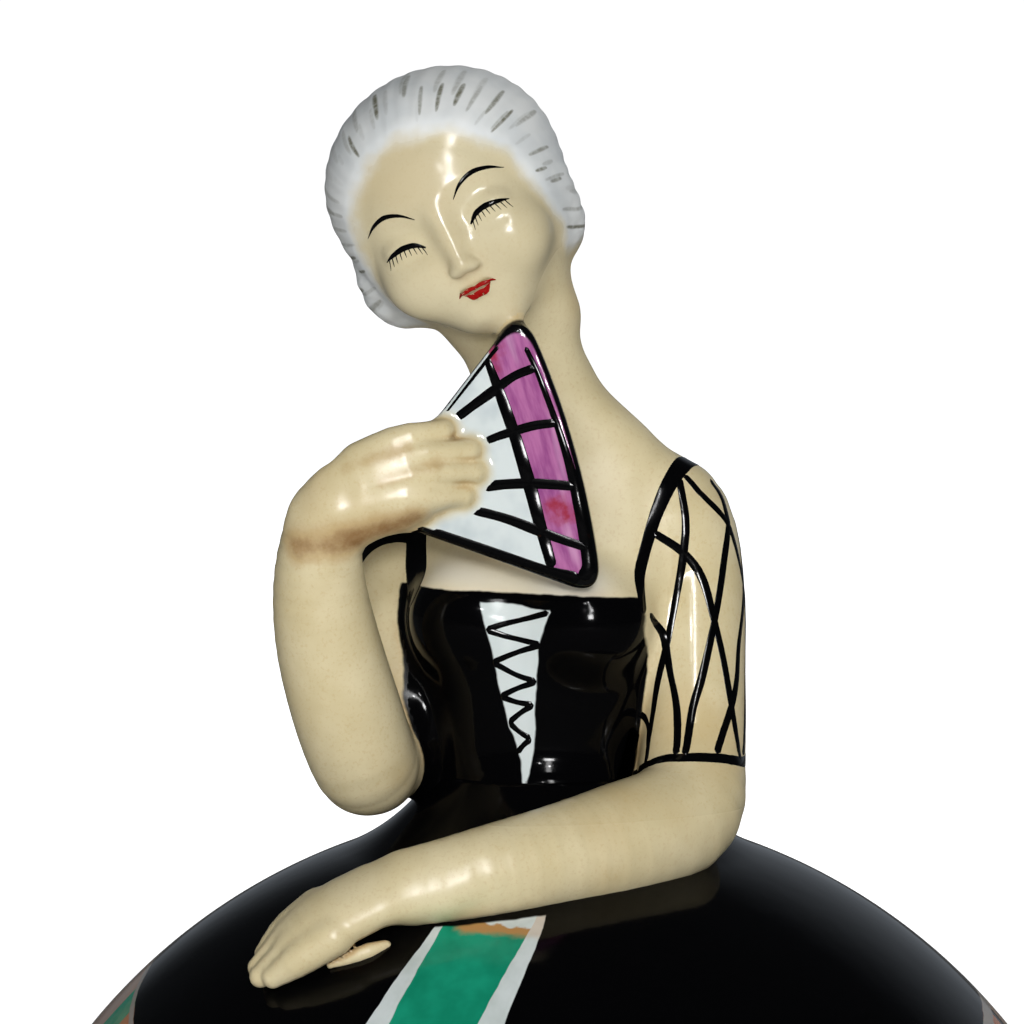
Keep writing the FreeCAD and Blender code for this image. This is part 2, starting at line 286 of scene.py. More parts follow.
# the head's shapes, in its own axes: centre and half sizes
SKULL = ((-0.2, -1.0, 2.4), (13.7, 14.2, 12.6))
JAW = ((0, 1.4, -5.2), (11.4, 11.2, 10.2))
CHIN = ((0, 7.6, -11.8), (5.0, 4.2, 4.0))
CHEEK = ((5.8, 8.6, -6.6), (4.4, 4.0, 4.4))
EYE_SOCKET = ((5.2, 15.4, -1.6), (4.2, 3.0, 2.6))
EYELID = ((5.1, 10.6, -2.3), (2.9, 2.1, 2.0))
NOSTRIL = ((1.25, 12.5, -7.3), (0.95, 1.1, 0.85))
UPPER_LIP_SWELL = ((0, 12.2, -9.7), (2.5, 0.9, 0.75))
LOWER_LIP_SWELL = ((0, 12.0, -10.9), (1.9, 0.95, 0.75))
CHIN_HOLLOW = ((0, 13.6, -12.2), (2.6, 1.4, 0.9))
# and its tubes: x, y, z, radius
NOSE = [(0, 11.6, 0.4, 0.9), (0, 12.5, -3.4, 1.1), (0, 13.3, -6.6, 1.3)]
MOUTH_LINE = [(-2.4, 12.9, -10.1, 0.08), (0, 13.6, -10.3, 0.12), (2.4, 12.9, -10.1, 0.08)]
HAIR_ROLL = [
    (9.6, 0.4, -3.6, 3.0),
    (8.2, -2.4, -7.8, 3.9),
    (4.2, -7.6, -8.8, 4.3),
    (0, -9.8, -8.6, 4.3),
    (-5.4, -8.2, -8.2, 4.3),
    (-10.2, -2.6, -7.0, 4.5),
    (-11.2, 0.4, -4.4, 3.3),
]
HAIR_GROOVE_DEPTH = 0.11
FACE_INSET = 0.55  # how far the face lies below the hair


def head_solid(p):
    q = head_space(p)
    d = smooth_min(ellipsoid(q, *SKULL), ellipsoid(q, *JAW), 5.0)
    d = smooth_min(d, ellipsoid(q, *CHIN), 4.0)
    for side in (-1, 1):
        d = smooth_min(d, ellipsoid(q, *on_side(CHEEK, side)), 3.0)
        d = smooth_max(d, -ellipsoid(q, *on_side(EYE_SOCKET, side)), 2.0)
        d = smooth_min(d, ellipsoid(q, *on_side(EYELID, side)), 1.2)
        d = smooth_min(d, ellipsoid(q, *on_side(NOSTRIL, side)), 0.8)
    d = smooth_min(d, tube(q, NOSE, 4), 2.2)
    d = smooth_min(d, ellipsoid(q, *UPPER_LIP_SWELL), 0.8)
    d = smooth_min(d, ellipsoid(q, *LOWER_LIP_SWELL), 0.7)
    d = smooth_max(d, -tube(q, MOUTH_LINE, 6), 0.4)
    d = smooth_max(d, -ellipsoid(q, *CHIN_HOLLOW), 1.4)
    d = d + (1 - smooth_step(hair_depth(q), -9, 7)) * FACE_INSET
    d = smooth_min(d, tube(q, HAIR_ROLL, 20), 1.6)
    near = np.abs(d) < 3
    if near.any():
        d[near] += HAIR_GROOVE_DEPTH * hair_grooves(q[near])
    return d


def fan_plane(p):
    q = p - FAN_PIVOT
    return q @ FAN_OUT, q @ FAN_RISE, q @ FAN_FACE


FAN_TOP = ((FAN_TIP - FAN_PIVOT) @ FAN_OUT, (FAN_TIP - FAN_PIVOT) @ FAN_RISE)
FAN_LOW = ((FAN_CORNER - FAN_PIVOT) @ FAN_OUT, (FAN_CORNER - FAN_PIVOT) @ FAN_RISE)


def fan_outline(a, b):
    """Distance outside the fan's outline, in its plane."""
    top = unit((-FAN_TOP[1], FAN_TOP[0]))
    low = unit((FAN_LOW[1], -FAN_LOW[0]))
    chord = math.dist(FAN_TOP, FAN_LOW)
    radius = (chord**2 / 4 + FAN_BULGE**2) / (2 * FAN_BULGE)
    centre = ((FAN_TOP[0] + FAN_LOW[0]) / 2 + FAN_BULGE - radius, (FAN_TOP[1] + FAN_LOW[1]) / 2)
    arc = np.hypot(a - centre[0], b - centre[1]) - radius
    k = FAN_ROUND * 1.6
    sides = smooth_max(a * top[0] + b * top[1], a * low[0] + b * low[1] - FAN_LOWER_EDGE, k)
    return smooth_max(sides, arc, k)


def fan_solid(p):
    """The fan, its front swelling a little between the ribs."""
    a, b, out = fan_plane(p)
    rib = (b / np.maximum(a, 4.0) - FAN_RIB_MIDDLE) / FAN_RIB_SPACING
    ripple = 0.5 - 0.5 * np.cos(2 * math.pi * rib)
    swell = np.where(out > 0, FAN_SWELL * ripple * smooth_step(a, 10, 18), 0.0)
    return smooth_max(fan_outline(a, b), np.abs(out) - FAN_THICK / 2 - swell, 0.7)


DOME_NORMAL = unit((-0.23, -0.50, 0.83))


def left_arm_solid(p):
    d = tube(p, LEFT_ARM, 34)
    d = smooth_min(d, flat_tube(p, LEFT_HAND, 8, DOME_NORMAL, LEFT_HAND_FLATNESS), 2.0)
    axis = unit(np.subtract(LEFT_HAND_AXIS[1], LEFT_HAND_AXIS[0]))
    across = np.cross(DOME_NORMAL, axis)
    fingers = np.full(len(p), 1e3)
    for i, (side, reach) in enumerate(LEFT_FINGERS):
        root = np.array(LEFT_FINGER_ROOT) + across * side
        bend = root + axis * reach * 0.55 - across * side * 0.1
        tip = root + axis * reach - DOME_NORMAL * 0.4 - across * side * 0.3
        finger = tube(p, [(*root, 2.1), (*bend, 1.9), (*tip, 1.25)], 6)
        fingers = finger if i == 0 else smooth_min(fingers, finger, 0.5)
    d = smooth_min(d, fingers, 0.9)
    return np.minimum(d, tube(p, LEFT_THUMB, 6))


HAND_NORMAL = unit((0.25, -0.96, 0.05))


def right_arm_solid(p):
    d = tube(p, RIGHT_ARM, 40)
    d = smooth_min(d, flat_tube(p, RIGHT_HAND, 8, HAND_NORMAL, RIGHT_HAND_FLATNESS), 2.0)
    d = smooth_min(d, tube(p, HEEL, 8), 2.0)
    fingers = np.full(len(p), 1e3)
    for i, rows in enumerate(RIGHT_FINGERS):
        finger = tube(p, rows, 6)
        fingers = finger if i == 0 else smooth_min(fingers, finger, 0.7)
    d = smooth_min(d, fingers, 1.6)
    return smooth_min(d, tube(p, THUMB, 6), 1.0)


GROUPS = {  # solid, lowest corner, highest corner
    "torso": (torso_solid, (-20, -18, 84), (21, 15, 150)),
    "head": (head_solid, (-28, -25, 134), (9, 12, 172)),
    "left_arm": (left_arm_solid, (-27, -41, 65), (25, 11, 127)),
    "right_arm": (right_arm_solid, (-28, -31, 82), (1, 11, 131)),
    "fan": (fan_solid, (-18, -24, 108), (13, -12, 145)),
}
FAR = 6.0
HAND_BLEND = 1.8


def distances(p):
    """Distance of each point to each group, cut off at FAR."""
    result = {}
    for name, (solid, low, high) in GROUPS.items():
        near = ((p > np.array(low) - FAR / 2) & (p < np.array(high) + FAR / 2)).all(1)
        d = np.full(len(p), FAR)
        if near.any():
            d[near] = np.minimum(solid(p[near]), FAR)
        result[name] = d
    return result


def fused(parts):
    d = smooth_min(parts["torso"], parts["head"], 4.0)
    d = smooth_min(d, parts["left_arm"], 2.2)
    return smooth_min(d, smooth_min(parts["right_arm"], parts["fan"], HAND_BLEND), 2.4)


def figure(p):
    return fused(distances(p))


TETRA = np.array([(1, -1, -1), (-1, -1, 1), (-1, 1, -1), (1, 1, 1)], float)


def slope(solid, p, reach):
    """Value and gradient of a solid's distance at points."""
    values = [solid(p + corner * reach) for corner in TETRA]
    gradient = sum(np.outer(v, corner) for v, corner in zip(values, TETRA)) / (4 * reach)
    return sum(values) / 4, gradient


def onto(solid, p, reach=0.08, rounds=1):
    for _ in range(rounds):
        d, g = slope(solid, p, reach)
        p = p - g * (d / np.maximum((g * g).sum(1), 0.05))[:, None]
    return p


def normals(solid, p, reach=0.12):
    _, g = slope(solid, p, reach)
    return g / np.maximum(np.linalg.norm(g, axis=1), 1e-9)[:, None]


# ------------------------------------------------------------------ surface from the implicit solid

BLOCK = 4
CORNERS = np.array([(i, j, k) for i in (0, 1) for j in (0, 1) for k in (0, 1)])
EDGES = [(a, b) for a in range(8) for b in range(a + 1, 8) if abs(CORNERS[a] - CORNERS[b]).sum() == 1]


def sampled(solid, low, blocks, step):
    """Distances on a grid, worked out only in the blocks that the surface may cross."""
    size = step * BLOCK
    index = np.indices(blocks).reshape(3, -1).T
    middle = solid(low + (index + 0.5) * size)
    active = (np.abs(middle) < size * 1.5).reshape(blocks)
    sign = np.where(middle < 0, -1.0, 1.0).reshape(blocks)
    shape = tuple(n * BLOCK + 1 for n in blocks)
    values = np.ones(shape)
    mask = np.zeros(shape, bool)
    spread = np.repeat(np.repeat(np.repeat(active, BLOCK, 0), BLOCK, 1), BLOCK, 2)
    values[:-1, :-1, :-1] = np.repeat(np.repeat(np.repeat(sign, BLOCK, 0), BLOCK, 1), BLOCK, 2)
    for i, j, k in CORNERS:
        mask[i:shape[0] - 1 + i, j:shape[1] - 1 + j, k:shape[2] - 1 + k] |= spread
    points = np.argwhere(mask)
    values[mask] = solid(low + points * step)
    return values


def surface(solid, low, high, step):
    """Vertices and quads of the surface, by surface nets, then settled on the solid."""
    low = np.array(low, float)
    blocks = tuple(np.ceil((np.array(high) - low) / (step * BLOCK)).astype(int))
    values = sampled(solid, low, blocks, step)
    inside = values < 0
    shape = np.array(values.shape)
    count = np.zeros(shape - 1, np.int8)
    for i, j, k in CORNERS:
        count += inside[i:shape[0] - 1 + i, j:shape[1] - 1 + j, k:shape[2] - 1 + k]
    cell = (count > 0) & (count < 8)
    cells = np.argwhere(cell)
    number = np.full(cell.shape, -1)
    number[cell] = np.arange(len(cells))
    at = [values[tuple((cells + corner).T)] for corner in CORNERS]
    total = np.zeros((len(cells), 3))
    crossings = np.zeros(len(cells))
    for a, b in EDGES:
        cross = (at[a] < 0) != (at[b] < 0)
        t = at[a][cross] / (at[a][cross] - at[b][cross])
        total[cross] += CORNERS[a] + (CORNERS[b] - CORNERS[a]) * t[:, None]
        crossings[cross] += 1
    points = low + (cells + total / crossings[:, None]) * step
    quads = []
    for axis in range(3):
        one, two = (axis + 1) % 3, (axis + 2) % 3
        here = [slice(0, -1)] * 3
        there = [slice(0, -1)] * 3
        there[axis] = slice(1, None)
        for other in (one, two):
            here[other] = there[other] = slice(1, -1)
        first, second = inside[tuple(here)], inside[tuple(there)]
        edge = np.argwhere(first != second)
        edge[:, one] += 1
        edge[:, two] += 1
        leaving = first[first != second]
        ring = []
        for du, dv in ((1, 1), (0, 1), (0, 0), (1, 0)):
            c = edge.copy()
            c[:, one] -= du
            c[:, two] -= dv
            ring.append(number[tuple(c.T)])
        quad = np.stack(ring, 1)
        quad[~leaving] = quad[~leaving][:, ::-1]
        quads.append(quad)
    quads = np.concatenate(quads)
    quads = quads[(quads >= 0).all(1)]
    for _ in range(2):
        points = onto(solid, relaxed(points, quads))
    return points, quads


def relaxed(points, quads):
    """Each point moved halfway to the mean of its neighbours."""
    total = np.zeros_like(points)
    count = np.zeros(len(points))
    for k in range(4):
        a, b = quads[:, k], quads[:, (k + 1) % 4]
        for here, there in ((a, b), (b, a)):
            for axis in range(3):
                total[:, axis] += np.bincount(here, points[there, axis], len(points))
            count += np.bincount(here, minlength=len(points))
    return points * 0.5 + total / np.maximum(count, 1)[:, None] * 0.5


def capped(points, quads):
    """Faces of a piece plus a fan of triangles over each of its open loops; also the points added."""
    a = quads.ravel()
    b = np.roll(quads, -1, axis=1).ravel()
    width = len(points)
    forward = a.astype(np.int64) * width + b
    backward = b.astype(np.int64) * width + a
    open_edge = ~np.isin(forward, backward)
    after = {}
    for s, e in zip(a[open_edge], b[open_edge]):
        after.setdefault(int(s), []).append(int(e))
    extra, triangles = [], []
    while after:
        start = next(iter(after))
        loop = [start]
        while True:
            following = after[loop[-1]]
            nxt = following.pop()
            if not following:
                del after[loop[-1]]
            if nxt == start:
                break
            if nxt not in after:
                break
            loop.append(nxt)
        hub = len(points) + len(extra)
        extra.append(points[loop].mean(0))
        triangles += [(loop[(i + 1) % len(loop)], loop[i], hub) for i in range(len(loop))]
    return np.array(extra).reshape(-1, 3), triangles


# ------------------------------------------------------------------ Blender objects

def new_object(name, points, faces, normal=None, fields=None):
    """Mesh object from points in millimetres."""
    mesh = bpy.data.meshes.new(name)
    mesh.from_pydata((np.asarray(points) * MM).tolist(), [], faces)
    mesh.validate()
    mesh.polygons.foreach_set("use_smooth", [True] * len(mesh.polygons))
    for key, values in (fields or {}).items():
        layer = mesh.attributes.new(key, "FLOAT", "POINT")
        layer.data.foreach_set("value", np.asarray(values, np.float32))
    mesh.update()
    if normal is not None:
        mesh.normals_split_custom_set_from_vertices(np.asarray(normal).tolist())
    obj = bpy.data.objects.new(name, mesh)
    bpy.context.scene.collection.objects.link(obj)
    return obj


def tube_faces(base, rings, sides, looped=False, mirrored=False):
    """Faces round a tube, ring after ring from point base; its ends are closed unless it is looped."""
    faces = []
    for i in range(rings if looped else rings - 1):
        here, there = base + i * sides, base + (i + 1) % rings * sides
        for j in range(sides):
            k = (j + 1) % sides
            others = (here + k, there + k, there + j)
            faces.append((here + j, *(others[::-1] if mirrored else others)))
    if not looped:
        last = base + (rings - 1) * sides
        order = 1 if mirrored else -1
        faces.append(tuple(range(base, base + sides))[::order])
        faces.append(tuple(range(last, last + sides))[::-order])
    return faces


def polar(r, turn, z):
    """A point at radius r, turned from the front."""
    return r * math.sin(turn), -r * math.cos(turn), z


def piece(obj, body, material, replaces=()):
    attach(obj, body)
    if replaces:
        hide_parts(*replaces)
    if material is not None:
        obj.data.materials.append(material)
    return obj


# ------------------------------------------------------------------ shader building

def srgb(r, g, b):
    """Linear colour from 8-bit sRGB."""
    line = [c / 255 for c in (r, g, b)]
    return tuple(c / 12.92 if c <= 0.04045 else ((c + 0.055) / 1.055) ** 2.4 for c in line) + (1.0,)


class Varying:
    """A number that varies over a surface; arithmetic with it adds Math nodes."""

    def __init__(self, shade, socket):
        self.shade = shade
        self.socket = socket

    def __abs__(self):
        return self.shade.math("ABSOLUTE", self)


def arithmetic(operation, swapped):
    def apply(self, other):
        a, b = (other, self) if swapped else (self, other)
        return self.shade.math(operation, a, b)

    return apply


OPERATORS = {"add": "ADD", "sub": "SUBTRACT", "mul": "MULTIPLY", "truediv": "DIVIDE", "pow": "POWER"}
for sign, operation in OPERATORS.items():
    setattr(Varying, f"__{sign}__", arithmetic(operation, swapped=False))
    setattr(Varying, f"__r{sign}__", arithmetic(operation, swapped=True))


class Shade:
    """A material's node tree, with short calls for the nodes used here."""

    def __init__(self, name):
        self.material = bpy.data.materials.new(name)
        self.material.use_nodes = True
        self.tree = self.material.node_tree
        self.bsdf = self.tree.nodes["Principled BSDF"]
        self.position = self.add("ShaderNodeTexCoord").outputs["Object"]

    def add(self, kind, **settings):
        node = self.tree.nodes.new(kind)
        for key, value in settings.items():
            setattr(node, key, value)
        return node

    def put(self, socket, value):
        value = getattr(value, "socket", value)
        if isinstance(value, bpy.types.NodeSocket):
            self.tree.links.new(value, socket)
        else:
            socket.default_value = value

    def math(self, operation, a, b=0.0, clamp=False):
        node = self.add("ShaderNodeMath", operation=operation, use_clamp=clamp)
        for socket, value in zip(node.inputs, (a, b)):
            self.put(socket, value)
        return Varying(self, node.outputs[0])

    def step(self, value, low, high):
        """0 below low, 1 above high, smooth between."""
        node = self.add("ShaderNodeMapRange", interpolation_type="SMOOTHSTEP")
        self.put(node.inputs["Value"], value)
        self.put(node.inputs["From Min"], low)
        self.put(node.inputs["From Max"], high)
        return Varying(self, node.outputs["Result"])

    def mix(self, amount, a, b):
        node = self.add("ShaderNodeMix", data_type="RGBA")
        self.put(node.inputs["Factor"], amount)
        self.put(node.inputs["A"], a)
        self.put(node.inputs["B"], b)
        return node.outputs["Result"]

    def noise(self, scale, detail=2.0, rough=0.5, vector=None):
        node = self.add("ShaderNodeTexNoise")
        self.put(node.inputs["Vector"], self.position if vector is None else vector)
        node.inputs["Scale"].default_value = scale
        node.inputs["Detail"].default_value = detail
        node.inputs["Roughness"].default_value = rough
        return Varying(self, node.outputs["Fac"])

    def field(self, name):
        """One of the mesh's own values, stored at its vertices."""
        return Varying(self, self.add("ShaderNodeAttribute", attribute_name=name).outputs["Fac"])

    def stretched(self, x, y, z):
        node = self.add("ShaderNodeVectorMath", operation="MULTIPLY")
        self.put(node.inputs[0], self.position)
        node.inputs[1].default_value = (x, y, z)
        return node.outputs[0]

    def along(self, axis, origin):
        """Millimetres from origin along axis."""
        node = self.add("ShaderNodeVectorMath", operation="DOT_PRODUCT")
        self.put(node.inputs[0], self.position)
        node.inputs[1].default_value = tuple(axis)
        return (Varying(self, node.outputs["Value"]) - float(origin @ axis) * MM) / MM

    def chance(self, number, seed):
        """Three random numbers from 0 to 1 for each whole number."""
        node = self.add("ShaderNodeTexWhiteNoise", noise_dimensions="1D")
        self.put(node.inputs["W"], number + seed)
        return self.split(node.outputs["Color"])

    def split(self, vector=None):
        node = self.add("ShaderNodeSeparateXYZ")
        self.put(node.inputs[0], self.position if vector is None else vector)
        return [Varying(self, socket) for socket in node.outputs]

    def join(self, x, y, z):
        node = self.add("ShaderNodeCombineXYZ")
        for socket, value in zip(node.inputs, (x, y, z)):
            self.put(socket, value)
        return node.outputs[0]

    def bump(self, height, strength, distance, onto=None):
        node = self.add("ShaderNodeBump")
        self.put(node.inputs["Height"], height)
        node.inputs["Strength"].default_value = strength
        node.inputs["Distance"].default_value = distance
        if onto is not None:
            self.put(node.inputs["Normal"], onto)
        return node.outputs["Normal"]

    def pinholes(self, scale, size, share):
        """Small round dots, in a share of the cells."""
        cell = self.add("ShaderNodeTexVoronoi")
        self.put(cell.inputs["Vector"], self.position)
        cell.inputs["Scale"].default_value = scale
        dot = self.step(cell.outputs["Distance"], size, size * 0.4)
        return dot * self.math("LESS_THAN", self.split(cell.outputs["Color"])[0], share)

    def finish(self, colour, roughness=0.12, bump=None, **constants):
        self.put(self.bsdf.inputs["Base Color"], colour)
        self.put(self.bsdf.inputs["Roughness"], roughness)
        if bump is not None:
            self.put(self.bsdf.inputs["Normal"], bump)
        for key, value in constants.items():
            self.bsdf.inputs[key.replace("_", " ")].default_value = value
        return self.material


CREAM = srgb(218, 202, 158)
CREAM_PALE = srgb(230, 216, 176)
# painted light for the chest under the fan
CHEST_PAINTED_LIGHT = srgb(244, 240, 226)
FACE_TINT = srgb(206, 196, 166)
CREAM_WARM = srgb(204, 176, 122)
# browns of the grime and painted shade in the hollows
OCHRE_PALE = srgb(184, 146, 90)
OCHRE = srgb(128, 80, 34)
HAIR_WHITE = srgb(240, 242, 240)
HAIR_SHADE = srgb(224, 228, 228)
STROKE = srgb(112, 110, 90)
ENAMEL_BLACK = srgb(4, 4, 5)
GLAZE_WHITE = srgb(220, 228, 227)
EMERALD = srgb(28, 158, 124)
EMERALD_DEEP = srgb(18, 136, 104)
MAGENTA = srgb(186, 112, 164)
MAGENTA_DEEP = srgb(146, 70, 132)
TINT_RED = srgb(158, 34, 44)
LIP_RED = srgb(160, 10, 8)
BISQUE = srgb(222, 214, 196)
PINHOLE_BROWN = srgb(60, 40, 24)
PANEL_SHADE = srgb(190, 204, 202)
PINK_PALE = srgb(214, 168, 200)
FAN_SHADE = srgb(198, 208, 210)
ENAMEL_THIN = srgb(70, 34, 14)
LIP_WORN = srgb(196, 60, 44)
EMERALD_PIT = srgb(20, 52, 36)
STRIPE_SHADE = srgb(196, 206, 202)
STAIN = srgb(200, 138, 78)
STAIN_PALE = srgb(214, 160, 96)
TAUPE = srgb(186, 158, 140)
TAUPE_PALE = srgb(210, 190, 160)
RUST = srgb(186, 112, 70)
BAND_BLACK = srgb(18, 18, 20)
PIPING = srgb(168, 160, 152)
INNER_WHITE = srgb(246, 245, 238)
INNER_SHADE = srgb(236, 235, 226)
INNER_PIT = srgb(84, 66, 48)
BISQUE_SHADE = srgb(198, 188, 166)
BISQUE_WORN = srgb(170, 150, 120)


GLAZE_IOR = 1.5


def glaze_relief(s):
    """The slight unevenness of a poured glaze."""
    ripple = s.bump(s.noise(140, 2.0), 0.25, 0.0002)
    return s.bump(s.noise(1500, 1.0), 0.12, 0.00002, ripple)


def cream_glaze(s, grime_and_shade_amount=1.0):
    """Tinted glaze of the skin: mottled, finely speckled, with grime and painted shade in the creases, and
    pinholes.
    """
    mottle = s.step(s.noise(110, 3.0, 0.6), 0.3, 0.72)
    colour = s.mix(mottle, CREAM, CREAM_PALE)
    warm = s.step(s.noise(60, 2.0), 0.52, 0.75)
    colour = s.mix(warm * 0.42, colour, CREAM_WARM)
    speckle = s.step(s.noise(2300, 2.0, 0.7), 0.50, 0.72)
    colour = s.mix(speckle * 0.3, colour, CREAM_WARM)
    patches = s.noise(300, 4.0, 0.7) * 0.6
    # grime and painted shade: ochre darkens the hollows by how enclosed they are, and under the right hand
    grime_and_shade = s.field("hollow_grime_and_shade") * grime_and_shade_amount + patches
    colour = s.mix(s.step(grime_and_shade, 0.42, 0.86) * 0.55, colour, OCHRE_PALE)
    colour = s.mix(s.step(grime_and_shade, 0.78, 1.2) * 0.75, colour, OCHRE)
    return s.mix(s.pinholes(170, 0.05, 0.06) * 0.9, colour, PINHOLE_BROWN)


def dressed(s, colour):
    """The black bodice over a colour, up to its painted edge."""
    wobble = (s.noise(500, 2.0) - 0.5) * 0.35
    black = s.step(s.field("bodice") + wobble, 0.12, -0.12)
    return s.mix(black, colour, ENAMEL_BLACK)


SLEEVE_ROUGHNESS = 0.14


def skin_material(name, grime_and_shade_amount, worn, sleeve=None):
    """Glaze of an arm, worn to the roughness given and turning glossy between the sleeve's two heights."""
    s = Shade(name)
    rough = worn
    if sleeve:
        height = s.split()[2] / MM
        rough = worn + s.step(height, *sleeve) * (SLEEVE_ROUGHNESS - worn)
    colour = dressed(s, cream_glaze(s, grime_and_shade_amount))
    return s.finish(colour, rough, glaze_relief(s), IOR=GLAZE_IOR, Specular_IOR_Level=0.45)


HAIR_SECTOR = 8.6  # degrees from one brush stroke of the hair to the next


def hair_ink(s, seed, strength):
    """Soft radial brush strokes, one to a sector of the hair, each a little different."""
    side, _, up = (s.along(axis, HEAD_CENTRE) for axis in HEAD_AXES)
    degrees = s.math("ARCTAN2", side, up + 1.0) * (180 / math.pi)
    depth = s.field("hair")
    sway = (s.noise(90, 1.0) - 0.5) * 5.0
    place = (degrees + sway + (400.0 + seed)) / HAIR_SECTOR
    place = place - depth * 0.01
    start_by, length_by, shift_by = s.chance(s.math("FLOOR", place), seed)
    across = s.math("FRACT", place) - (0.36 + shift_by * 0.28)
    start = 2.0 + start_by * 22.0
    length = 9.0 + length_by * 19.0
    t = s.math("DIVIDE", depth - start, length, clamp=True)
    body = s.math("SQRT", t * (1.0 - t) * 4.0)
    half = 0.05 + body * (0.1 + start_by * 0.09)
    ratio = abs(across) / half
    ink = s.step(ratio, 1.15, 0.25) * s.step(body, 0.05, 0.75)
    weight = s.step(shift_by * 0.6 + length_by * 0.4, 0.1, 0.65)
    return ink * (weight * strength)


def head_material():
    s = Shade("head_glaze")
    face = s.step(s.field("above_neck"), 0.3, 5.0)
    skin = s.mix(face * 0.5, cream_glaze(s, 0.6), FACE_TINT)
    shade = s.step(s.noise(160, 3.0), 0.35, 0.7)
    hair = s.mix(shade, HAIR_WHITE, HAIR_SHADE)
    bristle = s.step(s.noise(1300, 2.0, 0.6), 0.25, 0.7)
    ink = s.math("MAXIMUM", hair_ink(s, 3.0, 1.0), hair_ink(s, 47.3, 0.5))
    ink = ink * (bristle * 0.45 + 0.55)
    hair = s.mix(ink, hair, STROKE)
    edge = s.field("hair") + (s.noise(260, 3.0) - 0.5) * 16.0
    hairy = s.step(edge, -7.0, 5.0)
    shiny = face * (1.0 - hairy)
    rough = 0.43 - shiny * 0.24
    return s.finish(s.mix(hairy, skin, hair), rough, glaze_relief(s), IOR=GLAZE_IOR, Specular_IOR_Level=0.4)


def torso_material():
    s = Shade("bodice_glaze")
    wobble = (s.noise(420, 2.0) - 0.5) * 0.5
    white = s.step(s.field("panel") + wobble, 0.12, -0.12)
    # painted light: the chest under the fan is lightened where the fan's shadow falls
    skin = s.mix(s.field("pale") * 0.85, cream_glaze(s, 0.6), CHEST_PAINTED_LIGHT)
    colour = dressed(s, skin)
    streak = s.step(s.noise(240, 2.0, 0.5, s.stretched(1.0, 1.0, 0.25)), 0.4, 0.7)
    panel = s.mix(streak * 0.3, GLAZE_WHITE, PANEL_SHADE)
    colour = s.mix(white, colour, panel)
    bare = s.step(s.field("bodice"), -0.1, 0.1)
    s.put(s.bsdf.inputs["Specular IOR Level"], 0.13 + bare * 0.27)
    rough = 0.09 + bare * 0.34
    return s.finish(colour, rough, glaze_relief(s), IOR=GLAZE_IOR)


def fan_material():
    s = Shade("fan_glaze")
    a, b, out = (s.along(axis, FAN_PIVOT) for axis in (FAN_OUT, FAN_RISE, FAN_FACE))
    along = s.join(a * 0.001, b * 0.00016, 0.0)
    streak = s.step(s.noise(1100, 3.0, 0.6, along), 0.3, 0.75)
    pink = s.mix(streak, MAGENTA, MAGENTA_DEEP)
    pale = s.step(s.noise(520, 2.0, 0.5, along), 0.52, 0.75)
    pink = s.mix(pale * 0.55, pink, PINK_PALE)
    red = s.math("MAXIMUM", fan_blot(s, a, b, 17.4, 12.2, 1.6, 3.0), fan_blot(s, a, b, 20.2, -6.8, 2.2, 1.9))
    red = red * (0.35 + s.step(s.noise(800, 3.0), 0.35, 0.65) * 0.5)
    pink = s.mix(red, pink, TINT_RED)
    white = s.mix(s.step(s.noise(300, 2.0), 0.4, 0.8), GLAZE_WHITE, FAN_SHADE)
    colour = s.mix(s.step(a, 17.2, 17.5), white, pink)
    cream = cream_glaze(s, 0.5)
    near_hand = s.field("beside_hand") + s.noise(500, 3.0) * 0.5
    colour = s.mix(s.step(near_hand, -1.6, 0.5), colour, cream)
    front = s.step(out, FAN_THICK * 0.36, FAN_THICK * 0.44)
    colour = s.mix(front, ENAMEL_BLACK, colour)
    edged = s.math("MAXIMUM", s.step(a, 17.8, 18.4), s.step(b, -2.6, -3.2))
    depth = s.field("rim") - s.step(b, -2.6, -3.2) * -0.35
    colour = s.mix(s.step(depth, -0.62, -0.42) * edged, colour, ENAMEL_BLACK)
    colour = s.mix(s.step(s.field("rim"), 0.14, 0.34), colour, cream)
    return s.finish(colour, 0.10, glaze_relief(s), IOR=GLAZE_IOR)


def fan_blot(s, a, b, centre_a, centre_b, half_a, half_b):
    """A soft oval patch on the fan, 1 at its centre; sizes in millimetres."""
    da = (a - centre_a) / half_a
    db = (b - centre_b) / half_b
    r = s.math("SQRT", da * da + db * db)
    r = r + (s.noise(700, 3.0) - 0.5) * 1.8
    return s.step(r, 1.3, 0.3)


def enamel_material():
    s = Shade("black_enamel")
    thin = s.step(s.noise(900, 3.0, 0.6), 0.66, 0.86)
    colour = s.mix(thin * 0.5, ENAMEL_BLACK, ENAMEL_THIN)
    relief = s.bump(s.noise(1400, 2.0), 0.3, 0.00003)
    return s.finish(colour, 0.12, relief, IOR=GLAZE_IOR, Specular_IOR_Level=0.2)


# ------------------------------------------------------------------ the figure

# how enclosed each point is, which places the grime and painted shade
def creases(points, normal):
    """0 on open surface, towards 1 in narrow hollows."""
    result = np.zeros(len(points))
    for reach in (0.9, 2.0):
        result += 0.5 * np.clip(1 - figure(points + normal * reach) / reach, 0, 1)
    return result


def polygon_distance(x, y, corners):
    """Signed distance to a closed outline in the plane, negative inside."""
    p = np.stack([x, y], 1)
    best = np.full(len(p), 1e9)
    inside = np.zeros(len(p), bool)
    corners = np.array(corners, float)
    for a, b in zip(corners, np.roll(corners, -1, 0)):
        e = b - a
        w = p - a
        t = np.clip(w @ e / (e @ e), 0, 1)
        best = np.minimum(best, np.linalg.norm(w - t[:, None] * e, axis=1))
        between = (a[1] > y) != (b[1] > y)
        cross_x = a[0] + (y - a[1]) * (e[0] / (e[1] if e[1] else 1e-9))
        inside ^= between & (x < cross_x)
    return np.where(inside, -best, best)


